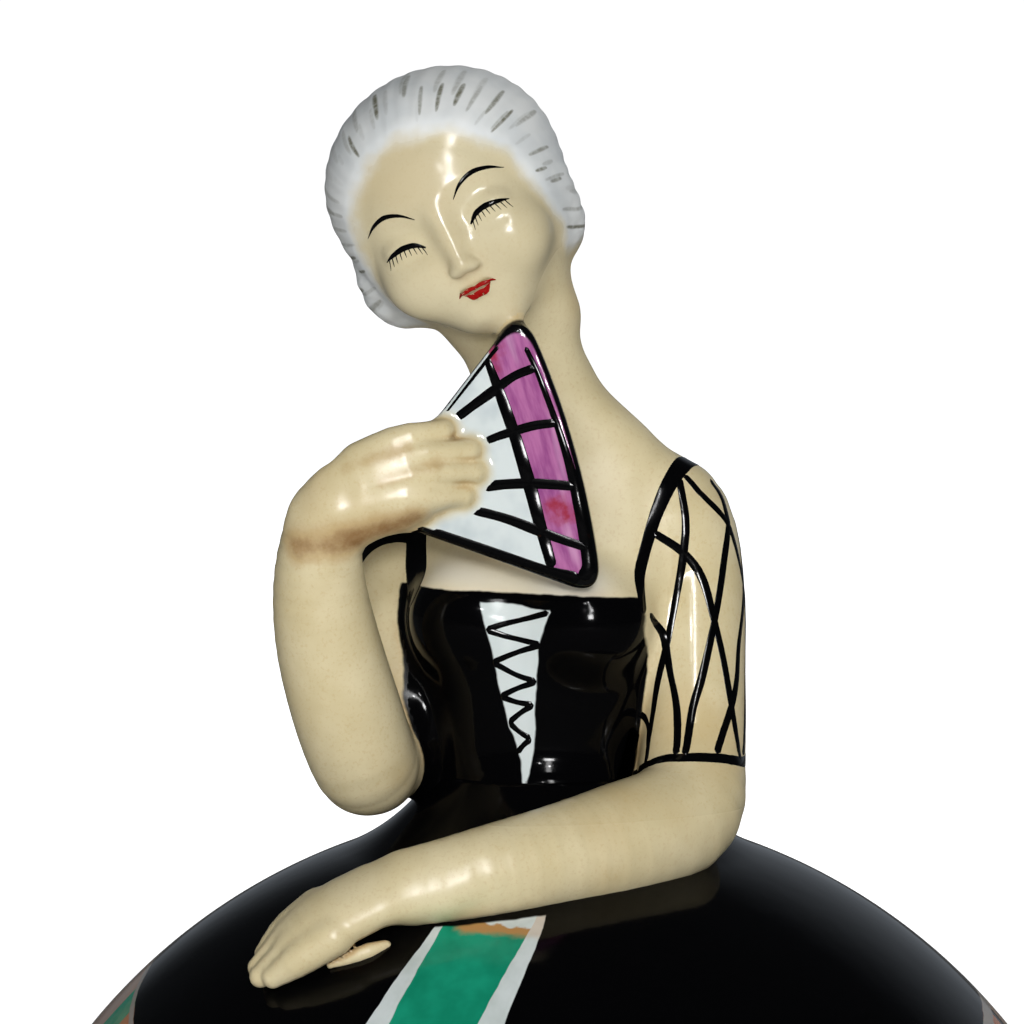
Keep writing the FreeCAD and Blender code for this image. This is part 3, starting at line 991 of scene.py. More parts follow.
NECKLINE = [
    (-180, 112.5), (-120, 111.4), (-90, 110.0), (-70, 110.0), (-48, 110.1), (-20, 110.0), (0, 109.8),
    (30, 109.8), (50, 109.6), (75, 109.2), (120, 111.0), (180, 112.5),
]
BODICE_SIDE = [  # z, x
    (88, 11.6), (91, 11.7), (95, 12.2), (99.7, 12.9), (104.4, 13.4), (107, 13.4), (110, 13.1),
]
LACED_PANEL = [
    (-4.7, 108.9), (3.8, 108.0), (2.3, 104.0), (1.8, 99.0), (1.5, 93.4), (1.2, 90.0), (0.7, 87.6),
    (0.0, 91.0), (-1.3, 94.6), (-2.4, 99.0), (-3.3, 104.2),
]


def torso_fields(p, parts):
    x, y, z = p.T
    angle = np.degrees(np.arctan2(x + 0.8, -(y + 1.5)))
    over = z - np.interp(angle, *np.array(NECKLINE, float).T)
    arms = np.minimum(parts["left_arm"], parts["right_arm"])
    bodice = np.maximum(over, (parts["torso"] - arms) * 0.6 - 0.3)
    side = np.interp(z, *np.array(BODICE_SIDE).T) + 2.0 * np.maximum(y + 0.5, 0)
    bodice = np.maximum(bodice, x - side)
    panel = np.maximum(polygon_distance(x, z, LACED_PANEL), y)
    return {
        "bodice": bodice,
        "panel": panel,
        "beside_hand": parts["fan"] - parts["right_arm"],
        "above_neck": parts["torso"] - parts["head"],
    }


HAND_BROWN_AND_SHADE = [  # brown tint and painted shade along the right hand's underside and knuckles: rows of x, y, z, radius, then its reach and depth
    ([(-21.6, -25.6, 115.9, 0.4), (-16.6, -25.6, 116.6, 0.4), (-9.4, -23.8, 118.4, 0.4)], 2.1, 0.85),
    ([(-16.5, -25.4, 124.6, 0.2), (-9.6, -24.0, 127.0, 0.2)], 0.9, 0.45),
    ([(-12.4, -25.2, 123.2, 0.2), (-6.6, -23.0, 125.0, 0.2)], 0.9, 0.45),
]
# painted light: a pale band on the chest along the fan's lower edge, lightening the fan's shadow there
PAINTED_LIGHT_UNDER_FAN = [
    (-10.5, -11.6, 113.2, 0.4), (-4.0, -13.0, 112.6, 0.4), (2.0, -13.0, 111.8, 0.4),
    (7.0, -11.8, 111.2, 0.4),
]
PAINTED_LIGHT_REACH = 2.9


def figure_pieces():
    """The fused surface of the figure, parted into its pieces and closed at each joint."""
    points, quads = surface(figure, (-30, -43, 64), (27, 16, 172), STEP)
    parts = distances(points)
    names = list(GROUPS)
    stack = np.stack([parts[n] for n in names], 1)
    owner = np.argmin(stack[quads].sum(1), axis=1)
    direction = normals(figure, points)
    # grime and painted shade in the hollows, and brown tint with painted shade under the right hand
    hollow_grime_and_shade = creases(points, direction)
    q = head_space(points)
    for rows, reach, depth in HAND_BROWN_AND_SHADE:
        hollow_grime_and_shade += depth * np.exp(-((np.maximum(tube(points, rows, 8), 0) / reach) ** 2))
    a, b, _ = fan_plane(points)
    # painted light on the chest under the fan
    pale = np.exp(-((np.maximum(tube(points, PAINTED_LIGHT_UNDER_FAN, 10), 0) / PAINTED_LIGHT_REACH) ** 2))
    fields = {"hollow_grime_and_shade": hollow_grime_and_shade, "pale": pale, "hair": hair_depth(q), "rim": fan_outline(a, b)}
    fields.update(torso_fields(points, parts))
    wanted = {
        "torso": ("hollow_grime_and_shade", "bodice", "panel", "pale"),
        "head": ("hollow_grime_and_shade", "hair", "above_neck"),
        "left_arm": ("hollow_grime_and_shade", "bodice"),
        "right_arm": ("hollow_grime_and_shade", "bodice"),
        "fan": ("hollow_grime_and_shade", "beside_hand", "rim"),
    }
    materials = {"torso": torso_material(), "head": head_material(), "fan": fan_material()}
    materials["left_arm"] = skin_material("cream_glaze_left", 0.6, 0.34, (80.0, 95.0))
    materials["right_arm"] = skin_material("cream_glaze_right", 0.85, 0.27)
    for k, name in enumerate(names):
        own = quads[owner == k]
        used, own = np.unique(own, return_inverse=True)
        own = own.reshape(-1, 4)
        extra, lids = capped(points[used], own)
        keep = {key: np.concatenate([fields[key][used], np.zeros(len(extra))]) for key in wanted[name]}
        all_points = np.vstack([points[used], extra])
        all_normals = np.vstack([direction[used], np.tile((0.0, 0.0, 1.0), (len(extra), 1))])
        obj = new_object(name + "_figure", all_points, own.tolist() + lids, all_normals, keep)
        piece(obj, "lid", materials[name], (name,))


# ------------------------------------------------------------------ painted strokes on the figure

CROSS = [(-1.0, -0.05), (-0.7, 0.03), (0.0, 0.045), (0.7, 0.03), (1.0, -0.05), (0.0, -0.25)]


class Strokes:
    """Raised enamel lines on a solid, gathered into one mesh."""

    def __init__(self, solid):
        self.solid = solid
        self.points, self.faces = [], []
        self.count = 0

    def line(self, rows, widths, blunt=True, spacing=0.35):
        """One brush line through rows of x, y, z; widths are full widths along it."""
        path = spline(rows, 60)
        length = np.linalg.norm(np.diff(path, axis=0), axis=1).sum()
        n = max(int(length / spacing), 8)
        path = onto(self.solid, spline(rows, n), rounds=3)
        run = np.concatenate([[0], np.cumsum(np.linalg.norm(np.diff(path, axis=0), axis=1))])
        half = np.interp(run / run[-1], np.linspace(0, 1, len(widths)), widths) / 2
        if blunt:
            cap = np.clip(np.minimum(run, run[-1] - run) / half, 0, 1)
            half = half * np.sqrt(np.clip(1 - (1 - cap) ** 2, 0.02, 1))
        tangent = np.gradient(path, axis=0)
        up = normals(self.solid, path)
        side = np.cross(up, tangent)
        side /= np.maximum(np.linalg.norm(side, axis=1), 1e-9)[:, None]
        rings = []
        for across, height in CROSS:
            p = onto(self.solid, path + side * (half * across)[:, None], rounds=2)
            rings.append(p + normals(self.solid, p) * height)
        self.points.append(np.stack(rings, 1).reshape(-1, 3))
        self.faces += tube_faces(self.count, n, len(CROSS))
        self.count += n * len(CROSS)

    def object(self, name, material):
        obj = new_object(name, np.vstack(self.points), self.faces)
        return piece(obj, "lid", material)


BODICE_STRAPS = {  # rows of x, y, z and widths
    "left": (
        [
            (12.9, -8.2, 107.4), (12.9, -7.8, 109.6), (12.7, -6.9, 112.3), (12.9, -5.0, 115.6),
            (13.6, -3.3, 118.9), (14.6, -1.6, 121.8), (15.4, 1.2, 123.6), (15.4, 4.4, 122.4),
            (14.4, 7.4, 119.0), (13.6, 8.8, 114.4), (13.4, 8.6, 111.0),
        ],
        (1.8, 1.8, 1.7, 1.8, 2.2, 2.6, 2.4, 2.0, 1.8, 1.7, 1.6),
    ),
    "right": (
        [
            (-14.3, -9.4, 107.6), (-14.4, -8.6, 109.8), (-14.7, -6.8, 112.4), (-14.8, -4.8, 115.6),
            (-15.1, -2.8, 118.8), (-15.2, -0.2, 121.6), (-14.8, 3.0, 121.6), (-14.4, 6.6, 118.6),
            (-13.9, 8.4, 114.4), (-13.7, 8.4, 111.0),
        ],
        (5.2, 4.8, 3.9, 3.6, 3.6, 3.2, 2.6, 1.9, 1.7, 1.6),
    ),
    "right_edge": (
        [
            (-14.4, -6.4, 115.8), (-17.4, -5.6, 116.0), (-19.8, -4.6, 115.0), (-21.3, -3.6, 113.2),
            (-21.9, -3.0, 111.0), (-21.7, -2.8, 108.8), (-21.0, -3.0, 107.6),
        ],
        (1.8, 2.4, 2.5, 1.9, 1.2, 0.8, 0.4),
    ),
}
LACING = [
    (3.6, 107.9), (-3.7, 105.7), (2.6, 104.1), (-3.1, 101.8), (2.0, 99.7), (-2.4, 98.0), (1.7, 97.1),
    (-1.4, 95.0), (1.4, 93.2), (-0.5, 91.6),
]
LACING_BEND = 0.15
NET = [  # strands of the sleeve's net
    [
        (15.4, -1.2, 122.2), (16.8, -3.0, 117.8), (16.7, -3.5, 114.1), (16.1, -3.9, 109.8),
        (15.2, -5.1, 103.5), (14.1, -6.2, 98.2), (13.8, -7.3, 93.6), (14.2, -9.0, 90.3),
    ],
    [
        (13.4, -4.6, 116.4), (16.6, -3.5, 114.1), (18.8, -3.1, 111.1), (20.2, -3.3, 106.3),
        (21.4, -3.7, 101.1), (22.4, -4.6, 94.0), (22.7, -5.4, 90.4),
    ],
    [
        (15.8, -0.6, 122.4), (18.7, -0.8, 120.0), (20.9, 0.7, 117.5), (21.9, 1.6, 114.4),
        (22.4, 2.4, 109.4), (22.6, 1.6, 103.0), (22.8, -0.4, 96.4), (22.6, -4.4, 91.0),
    ],
    [
        (18.6, 2.0, 122.2), (21.0, 1.2, 118.0), (21.0, -0.8, 113.6), (20.2, -3.3, 106.3),
        (19.4, -5.6, 100.3), (18.7, -7.2, 96.3), (18.6, -9.4, 90.6),
    ],
    [(13.7, -6.9, 107.4), (14.9, -5.0, 104.4), (15.8, -6.0, 100.9), (17.0, -7.3, 96.8), (17.9, -9.5, 90.6)],
    [(11.6, -4.4, 96.2), (13.2, -6.4, 94.7), (13.9, -7.9, 92.2)],
    [
        (19.6, 6.2, 119.6), (21.6, 4.4, 115.4), (22.4, 2.4, 109.8), (22.0, -0.6, 104.0),
        (22.0, -3.0, 98.4), (21.0, -8.0, 91.0),
    ],
    [
        (16.6, 7.6, 119.6), (20.0, 6.6, 114.6), (21.8, 4.0, 108.6), (22.6, 1.4, 102.4), (22.9, -1.6, 95.6),
        (23.0, -4.0, 91.2),
    ],
    [(19.8, 6.4, 118.8), (18.0, 8.0, 112.6), (16.6, 7.4, 105.4), (15.6, 4.6, 98.8), (15.2, 2.2, 92.6)],
    [(15.0, 8.4, 113.4), (17.6, 7.4, 107.2), (20.2, 5.0, 101.6), (21.8, 1.6, 95.6), (22.4, -0.4, 91.4)],
]
SLEEVE_HEM = [
    (11.4, -6.4, 89.2), (12.9, -8.3, 89.7), (15.5, -9.6, 90.1), (18.0, -9.9, 90.3), (21.0, -8.3, 90.4),
    (23.0, -4.4, 90.4), (22.8, -0.4, 91.0), (20.2, 2.0, 91.8), (16.4, 2.6, 92.6), (13.4, 1.8, 93.2),
]
FAN_RIBS = [  # distance out and rise along each rib, and its widths
    ([(10.9, 6.1), (14.0, 7.3), (16.5, 8.2), (19.3, 9.2), (22.0, 9.5)], (1.3, 1.25, 1.5, 1.2, 1.3)),
    ([(12.4, 2.8), (15.2, 3.2), (17.3, 3.3), (20.0, 3.3), (22.6, 2.9)], (1.1, 1.1, 1.3, 1.3, 1.2)),
    ([(12.3, -1.6), (15.4, -2.2), (17.8, -2.8), (20.2, -3.6), (22.6, -4.5)], (1.7, 1.4, 1.5, 1.4, 1.3)),
    ([(10.5, -3.7), (14.2, -5.9), (17.3, -8.2), (19.8, -10.0), (22.2, -11.6)], (1.4, 1.3, 1.5, 1.3, 1.2)),
]
FAN_BAND = ([
    (17.0, 11.8), (17.3, 8.0), (17.6, 3.5), (17.7, -2.5), (17.6, -8.0), (17.6, -12.6),
], (1.0, 1.6, 1.7, 1.9, 1.7, 1.5))
FAN_EDGES = [
    ([(9.0, 6.0), (13.0, 8.9), (16.6, 11.5), (18.6, 12.9)], (0.25, 0.35, 0.5, 0.6)),
    ([
        (21.5, 12.0), (22.1, 8.0), (22.6, 0.0), (22.4, -7.0), (21.8, -12.4), (21.3, -13.9), (20.2, -14.6),
    ], (0.7, 0.8, 0.9, 1.2, 1.7, 1.9, 1.9)),
    ([(20.2, -14.6), (17.0, -12.9), (12.5, -9.8), (8.0, -6.7), (5.4, -4.9)], (2.0, 1.8, 1.7, 1.7, 1.6)),
]


def on_fan(points):
    return [FAN_PIVOT + FAN_OUT * a + FAN_RISE * b + FAN_FACE * (FAN_THICK / 2) for a, b in points]


def on_head(points):
    return [HEAD_CENTRE + np.array(q) @ HEAD_AXES for q in points]


BROW = [(2.5, 12.4, 0.1), (3.9, 12.2, 1.3), (5.8, 11.8, 1.9), (7.6, 10.8, 1.5), (9.0, 9.8, 0.6)]
LID = [(2.9, 12.2, -3.2), (3.9, 12.4, -2.4), (5.2, 12.4, -2.1), (6.6, 11.8, -2.3), (8.0, 11.0, -2.7)]
LASHES = 9
UPPER_LIP = [(2.4, 11.9, -10.15), (1.5, 12.6, -9.8), (0.65, 13.0, -9.6), (0.0, 13.0, -9.85)]
LOWER_LIP = [
    (-1.9, 12.3, -10.3), (-0.9, 12.8, -10.75), (0.0, 13.0, -10.9), (0.9, 12.8, -10.75), (1.9, 12.3, -10.3),
]


def mirrored(points):
    return [(-x, y, z) for x, y, z in points]


def lip_material():
    s = Shade("lip_enamel")
    worn = s.step(s.noise(1800, 3.0, 0.6), 0.62, 0.82)
    colour = s.mix(worn * 0.5, LIP_RED, LIP_WORN)
    return s.finish(colour, 0.14, s.bump(s.noise(1500, 2.0), 0.2, 0.00003), IOR=GLAZE_IOR)


def painted_strokes():
    enamel = enamel_material()
    bodice = Strokes(figure)
    for rows, widths in BODICE_STRAPS.values():
        bodice.line(rows, widths)
    zigzag = [(x, -13.6, z) for x, z in LACING]
    for i, (a, b) in enumerate(zip(zigzag[:-1], zigzag[1:])):
        middle = (np.array(a) + b) / 2 + (0.0, 0.0, LACING_BEND * (-1) ** i)
        bodice.line([a, middle, b], (0.95, 0.72, 0.9))
    bodice.object("bodice_lines", enamel)
    sleeve = Strokes(figure)
    for i, rows in enumerate(NET):
        thick = 1.04 + 0.1 * math.sin(2.3 * i)
        sleeve.line(rows, (thick, thick * 1.15, thick * 0.9, thick * 1.1, thick * 0.95))
    sleeve.line(SLEEVE_HEM, (1.4, 1.5, 1.6, 1.5, 1.6, 1.5, 1.4))
    sleeve.object("sleeve_net", enamel)
    fan = Strokes(fan_solid)
    for points, widths in [*FAN_RIBS, FAN_BAND, *FAN_EDGES]:
        fan.line(on_fan(points), widths)
    fan.object("fan_lines", enamel)
    face = Strokes(figure)
    for hand in (mirrored, list):
        face.line(on_head(hand(BROW)), (0.1, 0.5, 0.68, 0.5, 0.08), blunt=False, spacing=0.2)
        face.line(on_head(hand(LID)), (0.25, 0.75, 0.8, 0.6, 0.12), blunt=False, spacing=0.2)
        lid = spline(LID, LASHES + 2)[1:-1]
        for i, (x, y, z) in enumerate(lid):
            lean = 0.10 * (i - 2)
            lash = [(x, y, z - 0.1), (x + lean * 0.5, y, z - 0.6), (x + lean, y, z - 1.15)]
            face.line(on_head(hand(lash)), (0.16, 0.14, 0.05), blunt=False, spacing=0.15)
    face.object("brows_and_lashes", enamel)
    lips = Strokes(figure)
    for hand in (mirrored, list):
        lips.line(on_head(hand(UPPER_LIP)), (0.15, 0.85, 1.1, 0.85), blunt=False, spacing=0.25)
    lips.line(on_head(LOWER_LIP), (0.15, 1.0, 1.3, 1.0, 0.15), blunt=False, spacing=0.25)
    lips.object("lips", lip_material())


# ------------------------------------------------------------------ skirt

SKIRT_R = 68.5
SKIRT_CENTRE_Z = 15.0
WALL = 3.5
PARTING_Z = 40.0
EDGE_ROUND = 0.8
HEM_R, HEM_Z = 69.8, 2.2
FOOT_R, FOOT_WIDTH, FOOT_RECESS = 65.5, 4.5, 1.6
FLOOR_TOP_Z, FLOOR_ROUND = 5.6, 9.0
COLLAR_R, COLLAR_THICK, COLLAR_TOP_Z = 57.9, 2.5, 45.0
SEAT_R, REBATE_TOP_Z = 58.4, 46.0
FLARE_START_R, FLARE_MIDDLE = 24.0, (18.2, 82.6)
WAIST_R, WAIST_Z, VENT_R = 13.0, 88.5, 6.0
PAINTED, WHITE, BARE = 0, 1, 2


def sphere_r(z, inset=0.0):
    return math.sqrt((SKIRT_R - inset) ** 2 - (z - SKIRT_CENTRE_Z) ** 2)


def sphere_z(r, inset=0.0):
    return SKIRT_CENTRE_Z + math.sqrt((SKIRT_R - inset) ** 2 - r**2)


def arc_points(a, middle, b, count):
    """Points from a to b, b left out, on the circle through the middle point."""
    (ax, ay), (bx, by), (cx, cy) = a, middle, b
    d = 2 * (ax * (by - cy) + bx * (cy - ay) + cx * (ay - by))
    ux = ((ax**2 + ay**2) * (by - cy) + (bx**2 + by**2) * (cy - ay) + (cx**2 + cy**2) * (ay - by)) / d
    uy = ((ax**2 + ay**2) * (cx - bx) + (bx**2 + by**2) * (ax - cx) + (cx**2 + cy**2) * (bx - ax)) / d
    radius = math.hypot(ax - ux, ay - uy)
    start, end = math.atan2(ay - uy, ax - ux), math.atan2(cy - uy, cx - ux)
    through = math.atan2(by - uy, bx - ux)
    turn = (end - start) % (2 * math.pi)
    if (through - start) % (2 * math.pi) > turn:
        turn -= 2 * math.pi
    angles = [start + turn * i / count for i in range(count)]
    return [(ux + radius * math.cos(angle), uy + radius * math.sin(angle)) for angle in angles]


def round_corner(a, corner, b, count=5):
    pull = 1 - math.sqrt(0.5)
    centre = (a[0] + b[0] - corner[0], a[1] + b[1] - corner[1])
    middle = tuple(corner[i] * (1 - pull) + centre[i] * pull for i in (0, 1))
    return arc_points(a, middle, b, count)


def sphere_run(z_from, z_to, count, inset=0.0):
    z_middle = (z_from + z_to) / 2
    ends = [(sphere_r(z, inset), z) for z in (z_from, z_middle, z_to)]
    return arc_points(*ends, count)


def lid_profile():
    """Runs of profile points with the finish of each."""
    rim_z = PARTING_Z + EDGE_ROUND
    rim_r = sphere_r(rim_z)
    flare_z = sphere_z(FLARE_START_R)
    seat_in = sphere_r(REBATE_TOP_Z, WALL)
    inner_top = sphere_z(VENT_R, WALL)
    inner_middle_r = (VENT_R + seat_in) / 2
    inner_middle = (inner_middle_r, sphere_z(inner_middle_r, WALL))
    return [
        (round_corner((rim_r - EDGE_ROUND, PARTING_Z), (rim_r, PARTING_Z), (rim_r, rim_z)), PAINTED),
        (sphere_run(rim_z, flare_z, 60), PAINTED),
        (arc_points((FLARE_START_R, flare_z), FLARE_MIDDLE, (WAIST_R, WAIST_Z), 20), PAINTED),
        ([(WAIST_R, WAIST_Z)], PAINTED),
        ([(VENT_R, WAIST_Z), (VENT_R, (WAIST_Z + inner_top) / 2)], BARE),
        (arc_points((VENT_R, inner_top), inner_middle, (seat_in, REBATE_TOP_Z), 40), WHITE),
        ([(seat_in, REBATE_TOP_Z)], BARE),
        ([(SEAT_R, REBATE_TOP_Z), (SEAT_R, PARTING_Z + 0.6)], BARE),
        ([(SEAT_R + 0.6, PARTING_Z)], BARE),
    ]


def bowl_profile():
    rim_r = sphere_r(PARTING_Z - EDGE_ROUND)
    foot_in = FOOT_R - FOOT_WIDTH
    wall_top_z = 33.0
    wall_top = (sphere_r(wall_top_z, WALL), wall_top_z)
    wall_foot_z = FLOOR_TOP_Z + FLOOR_ROUND
    wall_foot_r = sphere_r(wall_foot_z, WALL)
    inner = COLLAR_R - COLLAR_THICK
    top, e = COLLAR_TOP_Z, EDGE_ROUND
    hem_middle = (SKIRT_R + 0.35, (HEM_Z + SKIRT_CENTRE_Z) / 2)
    floor_r = wall_foot_r - FLOOR_ROUND
    return [
        ([(0.0, FOOT_RECESS), (20.0, FOOT_RECESS), (40.0, FOOT_RECESS)], WHITE),
        ([(foot_in - 1.0, FOOT_RECESS), (foot_in, 0.0)], BARE),
        (arc_points((FOOT_R, 0.0), (HEM_R - 1.0, 0.6), (HEM_R, HEM_Z), 8), PAINTED),
        (arc_points((HEM_R, HEM_Z), hem_middle, (SKIRT_R, SKIRT_CENTRE_Z), 16), PAINTED),
        (sphere_run(SKIRT_CENTRE_Z, PARTING_Z - e, 30), PAINTED),
        (round_corner((rim_r, PARTING_Z - e), (rim_r, PARTING_Z), (rim_r - e, PARTING_Z)), PAINTED),
        ([(rim_r - e, PARTING_Z)], BARE),
        ([(COLLAR_R, PARTING_Z), (COLLAR_R, 42.5)], BARE),
        (round_corner((COLLAR_R, top - e), (COLLAR_R, top), (COLLAR_R - e, top)), BARE),
        (round_corner((inner + e, top), (inner, top), (inner, top - e)), BARE),
        ([(inner, top - e), (inner, 42.5)], WHITE),
        (arc_points((inner, PARTING_Z), (inner + 1.6, PARTING_Z - 3.8), wall_top, 8), WHITE),
        (sphere_run(wall_top_z, wall_foot_z, 16, WALL), WHITE),
        (round_corner((wall_foot_r, wall_foot_z), (wall_foot_r, FLOOR_TOP_Z),
        (floor_r, FLOOR_TOP_Z), 10), WHITE),
        ([(floor_r, FLOOR_TOP_Z), (24.0, FLOOR_TOP_Z), (0.0, FLOOR_TOP_Z)], WHITE),
    ]


TURNS = 224


def lathe(name, profile):
    """Closed turned solid; each face keeps its run's finish as its material index."""
    rows = [(r, z, finish) for run, finish in profile for r, z in run]
    closed = rows[0][0] > 0
    points, rings, faces, finishes = [], [], [], []
    for r, z, _ in rows:
        if r == 0:
            rings.append([len(points)] * TURNS)
            points.append((0.0, 0.0, z))
            continue
        rings.append(list(range(len(points), len(points) + TURNS)))
        for i in range(TURNS):
            points.append(polar(r, 2 * math.pi * i / TURNS, z))
    for k in range(len(rows) if closed else len(rows) - 1):
        one, two = rings[k], rings[(k + 1) % len(rows)]
        for i in range(TURNS):
            j = (i + 1) % TURNS
            corners = [one[i], one[j], two[j], two[i]]
            faces.append(tuple(dict.fromkeys(corners)))
            finishes.append(rows[k][2])
    obj = new_object(name, points, faces)
    obj.data.polygons.foreach_set("material_index", finishes)
    return obj


def skirt_material():
    """Black overskirt, a green front stripe edged in white, and a striped underskirt at the sides."""
    s = Shade("skirt_glaze")
    x, y, z = (s.along(axis, np.zeros(3)) for axis in np.eye(3))
    azimuth = s.math("ARCTAN2", x, y * -1.0) * (180 / math.pi)
    wobble = (s.noise(260, 2.0) - 0.5) * 0.5
    radius = s.math("SQRT", x * x + y * y)
    drift = s.math("MAXIMUM", s.math("MINIMUM", 75.0 - z, 12.5), 0.0)
    centre = 2.06 - drift * 0.282
    off = abs(x - centre) + wobble
    whole = abs(x - centre - 0.2) + wobble
    half = 7.0 + (radius - 40.8) * 0.133
    front = s.math("LESS_THAN", y, 0.0)
    slant = (x + 3.0) * 0.12
    below = s.step(z - slant + wobble, 74.9, 74.7)
    stripe = s.step(whole, half + 0.06, half - 0.06) * front * below
    green_half = 4.95 + s.math("MAXIMUM", radius - 50.0, 0.0) * 0.1
    green = s.step(off, green_half + 0.06, green_half - 0.06)

    brush = s.noise(220, 3.0, 0.55, s.stretched(1.0, 1.0, 0.3))
    emerald = s.mix(s.step(brush, 0.3, 0.7), EMERALD, EMERALD_DEEP)
    emerald = s.mix(s.pinholes(260, 0.1, 0.1) * 0.8, emerald, EMERALD_PIT)
    white = s.mix(s.step(brush, 0.35, 0.75), GLAZE_WHITE, STRIPE_SHADE)
    smear = z - slant + (x - 1.0) * 0.16
    smear = smear + (s.noise(600, 3.0) - 0.5) * 0.9
    stain = s.step(smear, 73.7, 74.3) * front * s.step(x, -2.0, -0.8)
    emerald = s.mix(stain * 0.85, emerald, STAIN)
    emerald = s.mix(s.step(smear, 74.7, 74.9) * front, emerald, white)
    white = s.mix(stain * 0.35, white, STAIN_PALE)
    front_colour = s.mix(green, white, emerald)

    def arch(middle, top, fall, shoulder):
        """Height of an opening's upper edge, falling faster beyond its shoulder."""
        turn = abs(azimuth - middle)
        drop = turn * turn * fall
        steep = s.math("MAXIMUM", turn - shoulder, 0.0)
        drop = drop + steep ** 3.0 * 0.0025
        return top - drop

    edge = s.math("MAXIMUM", arch(-100.0, 68.3, 0.0031, 46.0), arch(113.0, 62.8, 0.00375, 39.0))
    under = edge - z + wobble
    opening = s.step(under, -0.08, 0.08)
    border_width = 0.6 + s.math("GREATER_THAN", azimuth, 0.0) * 0.8
    within = under - border_width
    border = opening * s.step(within, 0.1, -0.1)
    ramp = s.add("ShaderNodeValToRGB")
    ramp.color_ramp.interpolation = "CONSTANT"
    cycle = [
        (TAUPE, 0.0), (EMERALD, 0.40), (RUST, 0.63), (BAND_BLACK, 0.90),
    ]
    phase = (azimuth + 437.3 + wobble) / 30.0
    s.put(ramp.inputs[0], s.math("FRACT", phase))
    elements = ramp.color_ramp.elements
    while len(elements) < len(cycle):
        elements.new(0.5)
    for element, (colour, place) in zip(elements, cycle):
        element.position = place
        element.color = colour
    underskirt = s.mix(s.step(brush, 0.35, 0.75) * 0.25, ramp.outputs["Color"], TAUPE_PALE)
    underskirt = s.mix(border, underskirt, PIPING)
    hem = s.step(z + wobble, 6.3, 6.1)
    piping = s.step(z + wobble, 7.7, 7.5) * (1.0 - hem)
    colour = s.mix(opening, ENAMEL_BLACK, underskirt)
    colour = s.mix(stripe, colour, front_colour)
    colour = s.mix(hem, colour, ENAMEL_BLACK)
    colour = s.mix(piping, colour, PIPING)
    rough = 0.07 + s.noise(30, 2.0) * 0.06
    return s.finish(colour, rough, glaze_relief(s), IOR=GLAZE_IOR, Specular_IOR_Level=0.11)


def white_glaze_material():
    s = Shade("inner_glaze")
    cloud = s.step(s.noise(60, 3.0), 0.35, 0.7)
    colour = s.mix(cloud, INNER_WHITE, INNER_SHADE)
    colour = s.mix(s.pinholes(170, 0.07, 0.12) * 0.8, colour, INNER_PIT)
    return s.finish(colour, 0.12, glaze_relief(s), IOR=GLAZE_IOR)


def bare_material():
    s = Shade("bare_porcelain")
    grain = s.step(s.noise(1800, 3.0, 0.7), 0.35, 0.75)
    colour = s.mix(grain, BISQUE, BISQUE_SHADE)
    worn = s.step(s.noise(200, 3.0), 0.55, 0.8)
    colour = s.mix(worn * 0.4, colour, BISQUE_WORN)
    return s.finish(colour, 0.7, s.bump(s.noise(2600, 3.0), 0.3, 0.00004))


def skirt_pieces():
    materials = (skirt_material(), white_glaze_material(), bare_material())
    for name, profile, body in (("skirt_lid", lid_profile(), "lid"), ("skirt_bowl", bowl_profile(), "bowl")):
        obj = lathe(name + "_glazed", profile)
        piece(obj, body, None, (name,))
        for material in materials:
            obj.data.materials.append(material)


# ------------------------------------------------------------------ swansdown puff

PUFF_R, PUFF_BOTTOM_Z, PUFF_TOP_Z = 34.0, 5.9, 18.9
BACKING_R, BACKING_TOP_Z = 29.0, 21.9
LOOP_R, LOOP_WIDTH, LOOP_THICK = 7.3, 7.6, 0.55
WISPS = 6500
WISP_SIDES, WISP_RINGS = 3, 4
PLEATS = 36
STITCHES = 64
STITCH_SIDES, STITCH_RINGS = 6, 5
EDGING_R, EDGING_SIDES, EDGING_RINGS, EDGING_TWISTS = 0.55, 8, 240, 9
RIBBON_ROWS = 17
RIBBON_FOOT_X, RIBBON_STITCH_GAP = 9.9, 1.5
DOWN_WHITE = srgb(240, 232, 222)
DOWN_SHADE = srgb(206, 192, 178)
SATIN = srgb(206, 118, 158)
SATIN_DEEP = srgb(164, 78, 122)
RIBBON = srgb(214, 124, 168)
THREAD = srgb(232, 190, 208)


def pad_outline(t):
    """Radius, height and outward tilt on the down pad's edge, from its foot at t = 0 to its top at t = 1."""
    edge = (PUFF_TOP_Z - PUFF_BOTTOM_Z) / 2 - 0.6
    angle = math.pi * (t - 0.5)
    z = (PUFF_TOP_Z + PUFF_BOTTOM_Z) / 2 + edge * math.sin(angle)
    return PUFF_R - 1.4 - edge + edge * math.cos(angle), z, angle


def down_wisps(random):
    """Curved, tapering filaments standing out of the pad's edge and drooping a little."""
    points, faces = [], []
    for _ in range(WISPS):
        turn = random.uniform(0, 2 * math.pi)
        r, z, tilt = pad_outline(random.uniform(0.26, 1.0))
        out = np.array(polar(1.0, turn, 0.0))
        way = unit(out * math.cos(tilt) + np.array([0, 0, math.sin(tilt)]) + random.normal(0, 0.38, 3))
        length = random.uniform(1.6, 3.4)
        droop = np.array([0, 0, -1.0]) * random.uniform(0.0, 0.7)
        side = unit(np.cross(way, random.normal(0, 1, 3)))
        other = np.cross(way, side)
        base = len(points)
        root = out * (r - 0.8) + np.array([0, 0, z])
        for k in range(WISP_RINGS):
            f = k / (WISP_RINGS - 1)
            middle = root + way * length * f + (side * 0.35 + droop) * length * 0.35 * f**2
            width = 0.17 * (1 - 0.85 * f)
            for j in range(WISP_SIDES):
                a = 2 * math.pi * j / WISP_SIDES
                points.append(middle + side * (width * math.cos(a)) + other * (width * math.sin(a)))
        faces += tube_faces(base, WISP_RINGS, WISP_SIDES)
    points = np.array(points)
    points[:, 2] = np.maximum(points[:, 2], PUFF_BOTTOM_Z)
    return points, faces


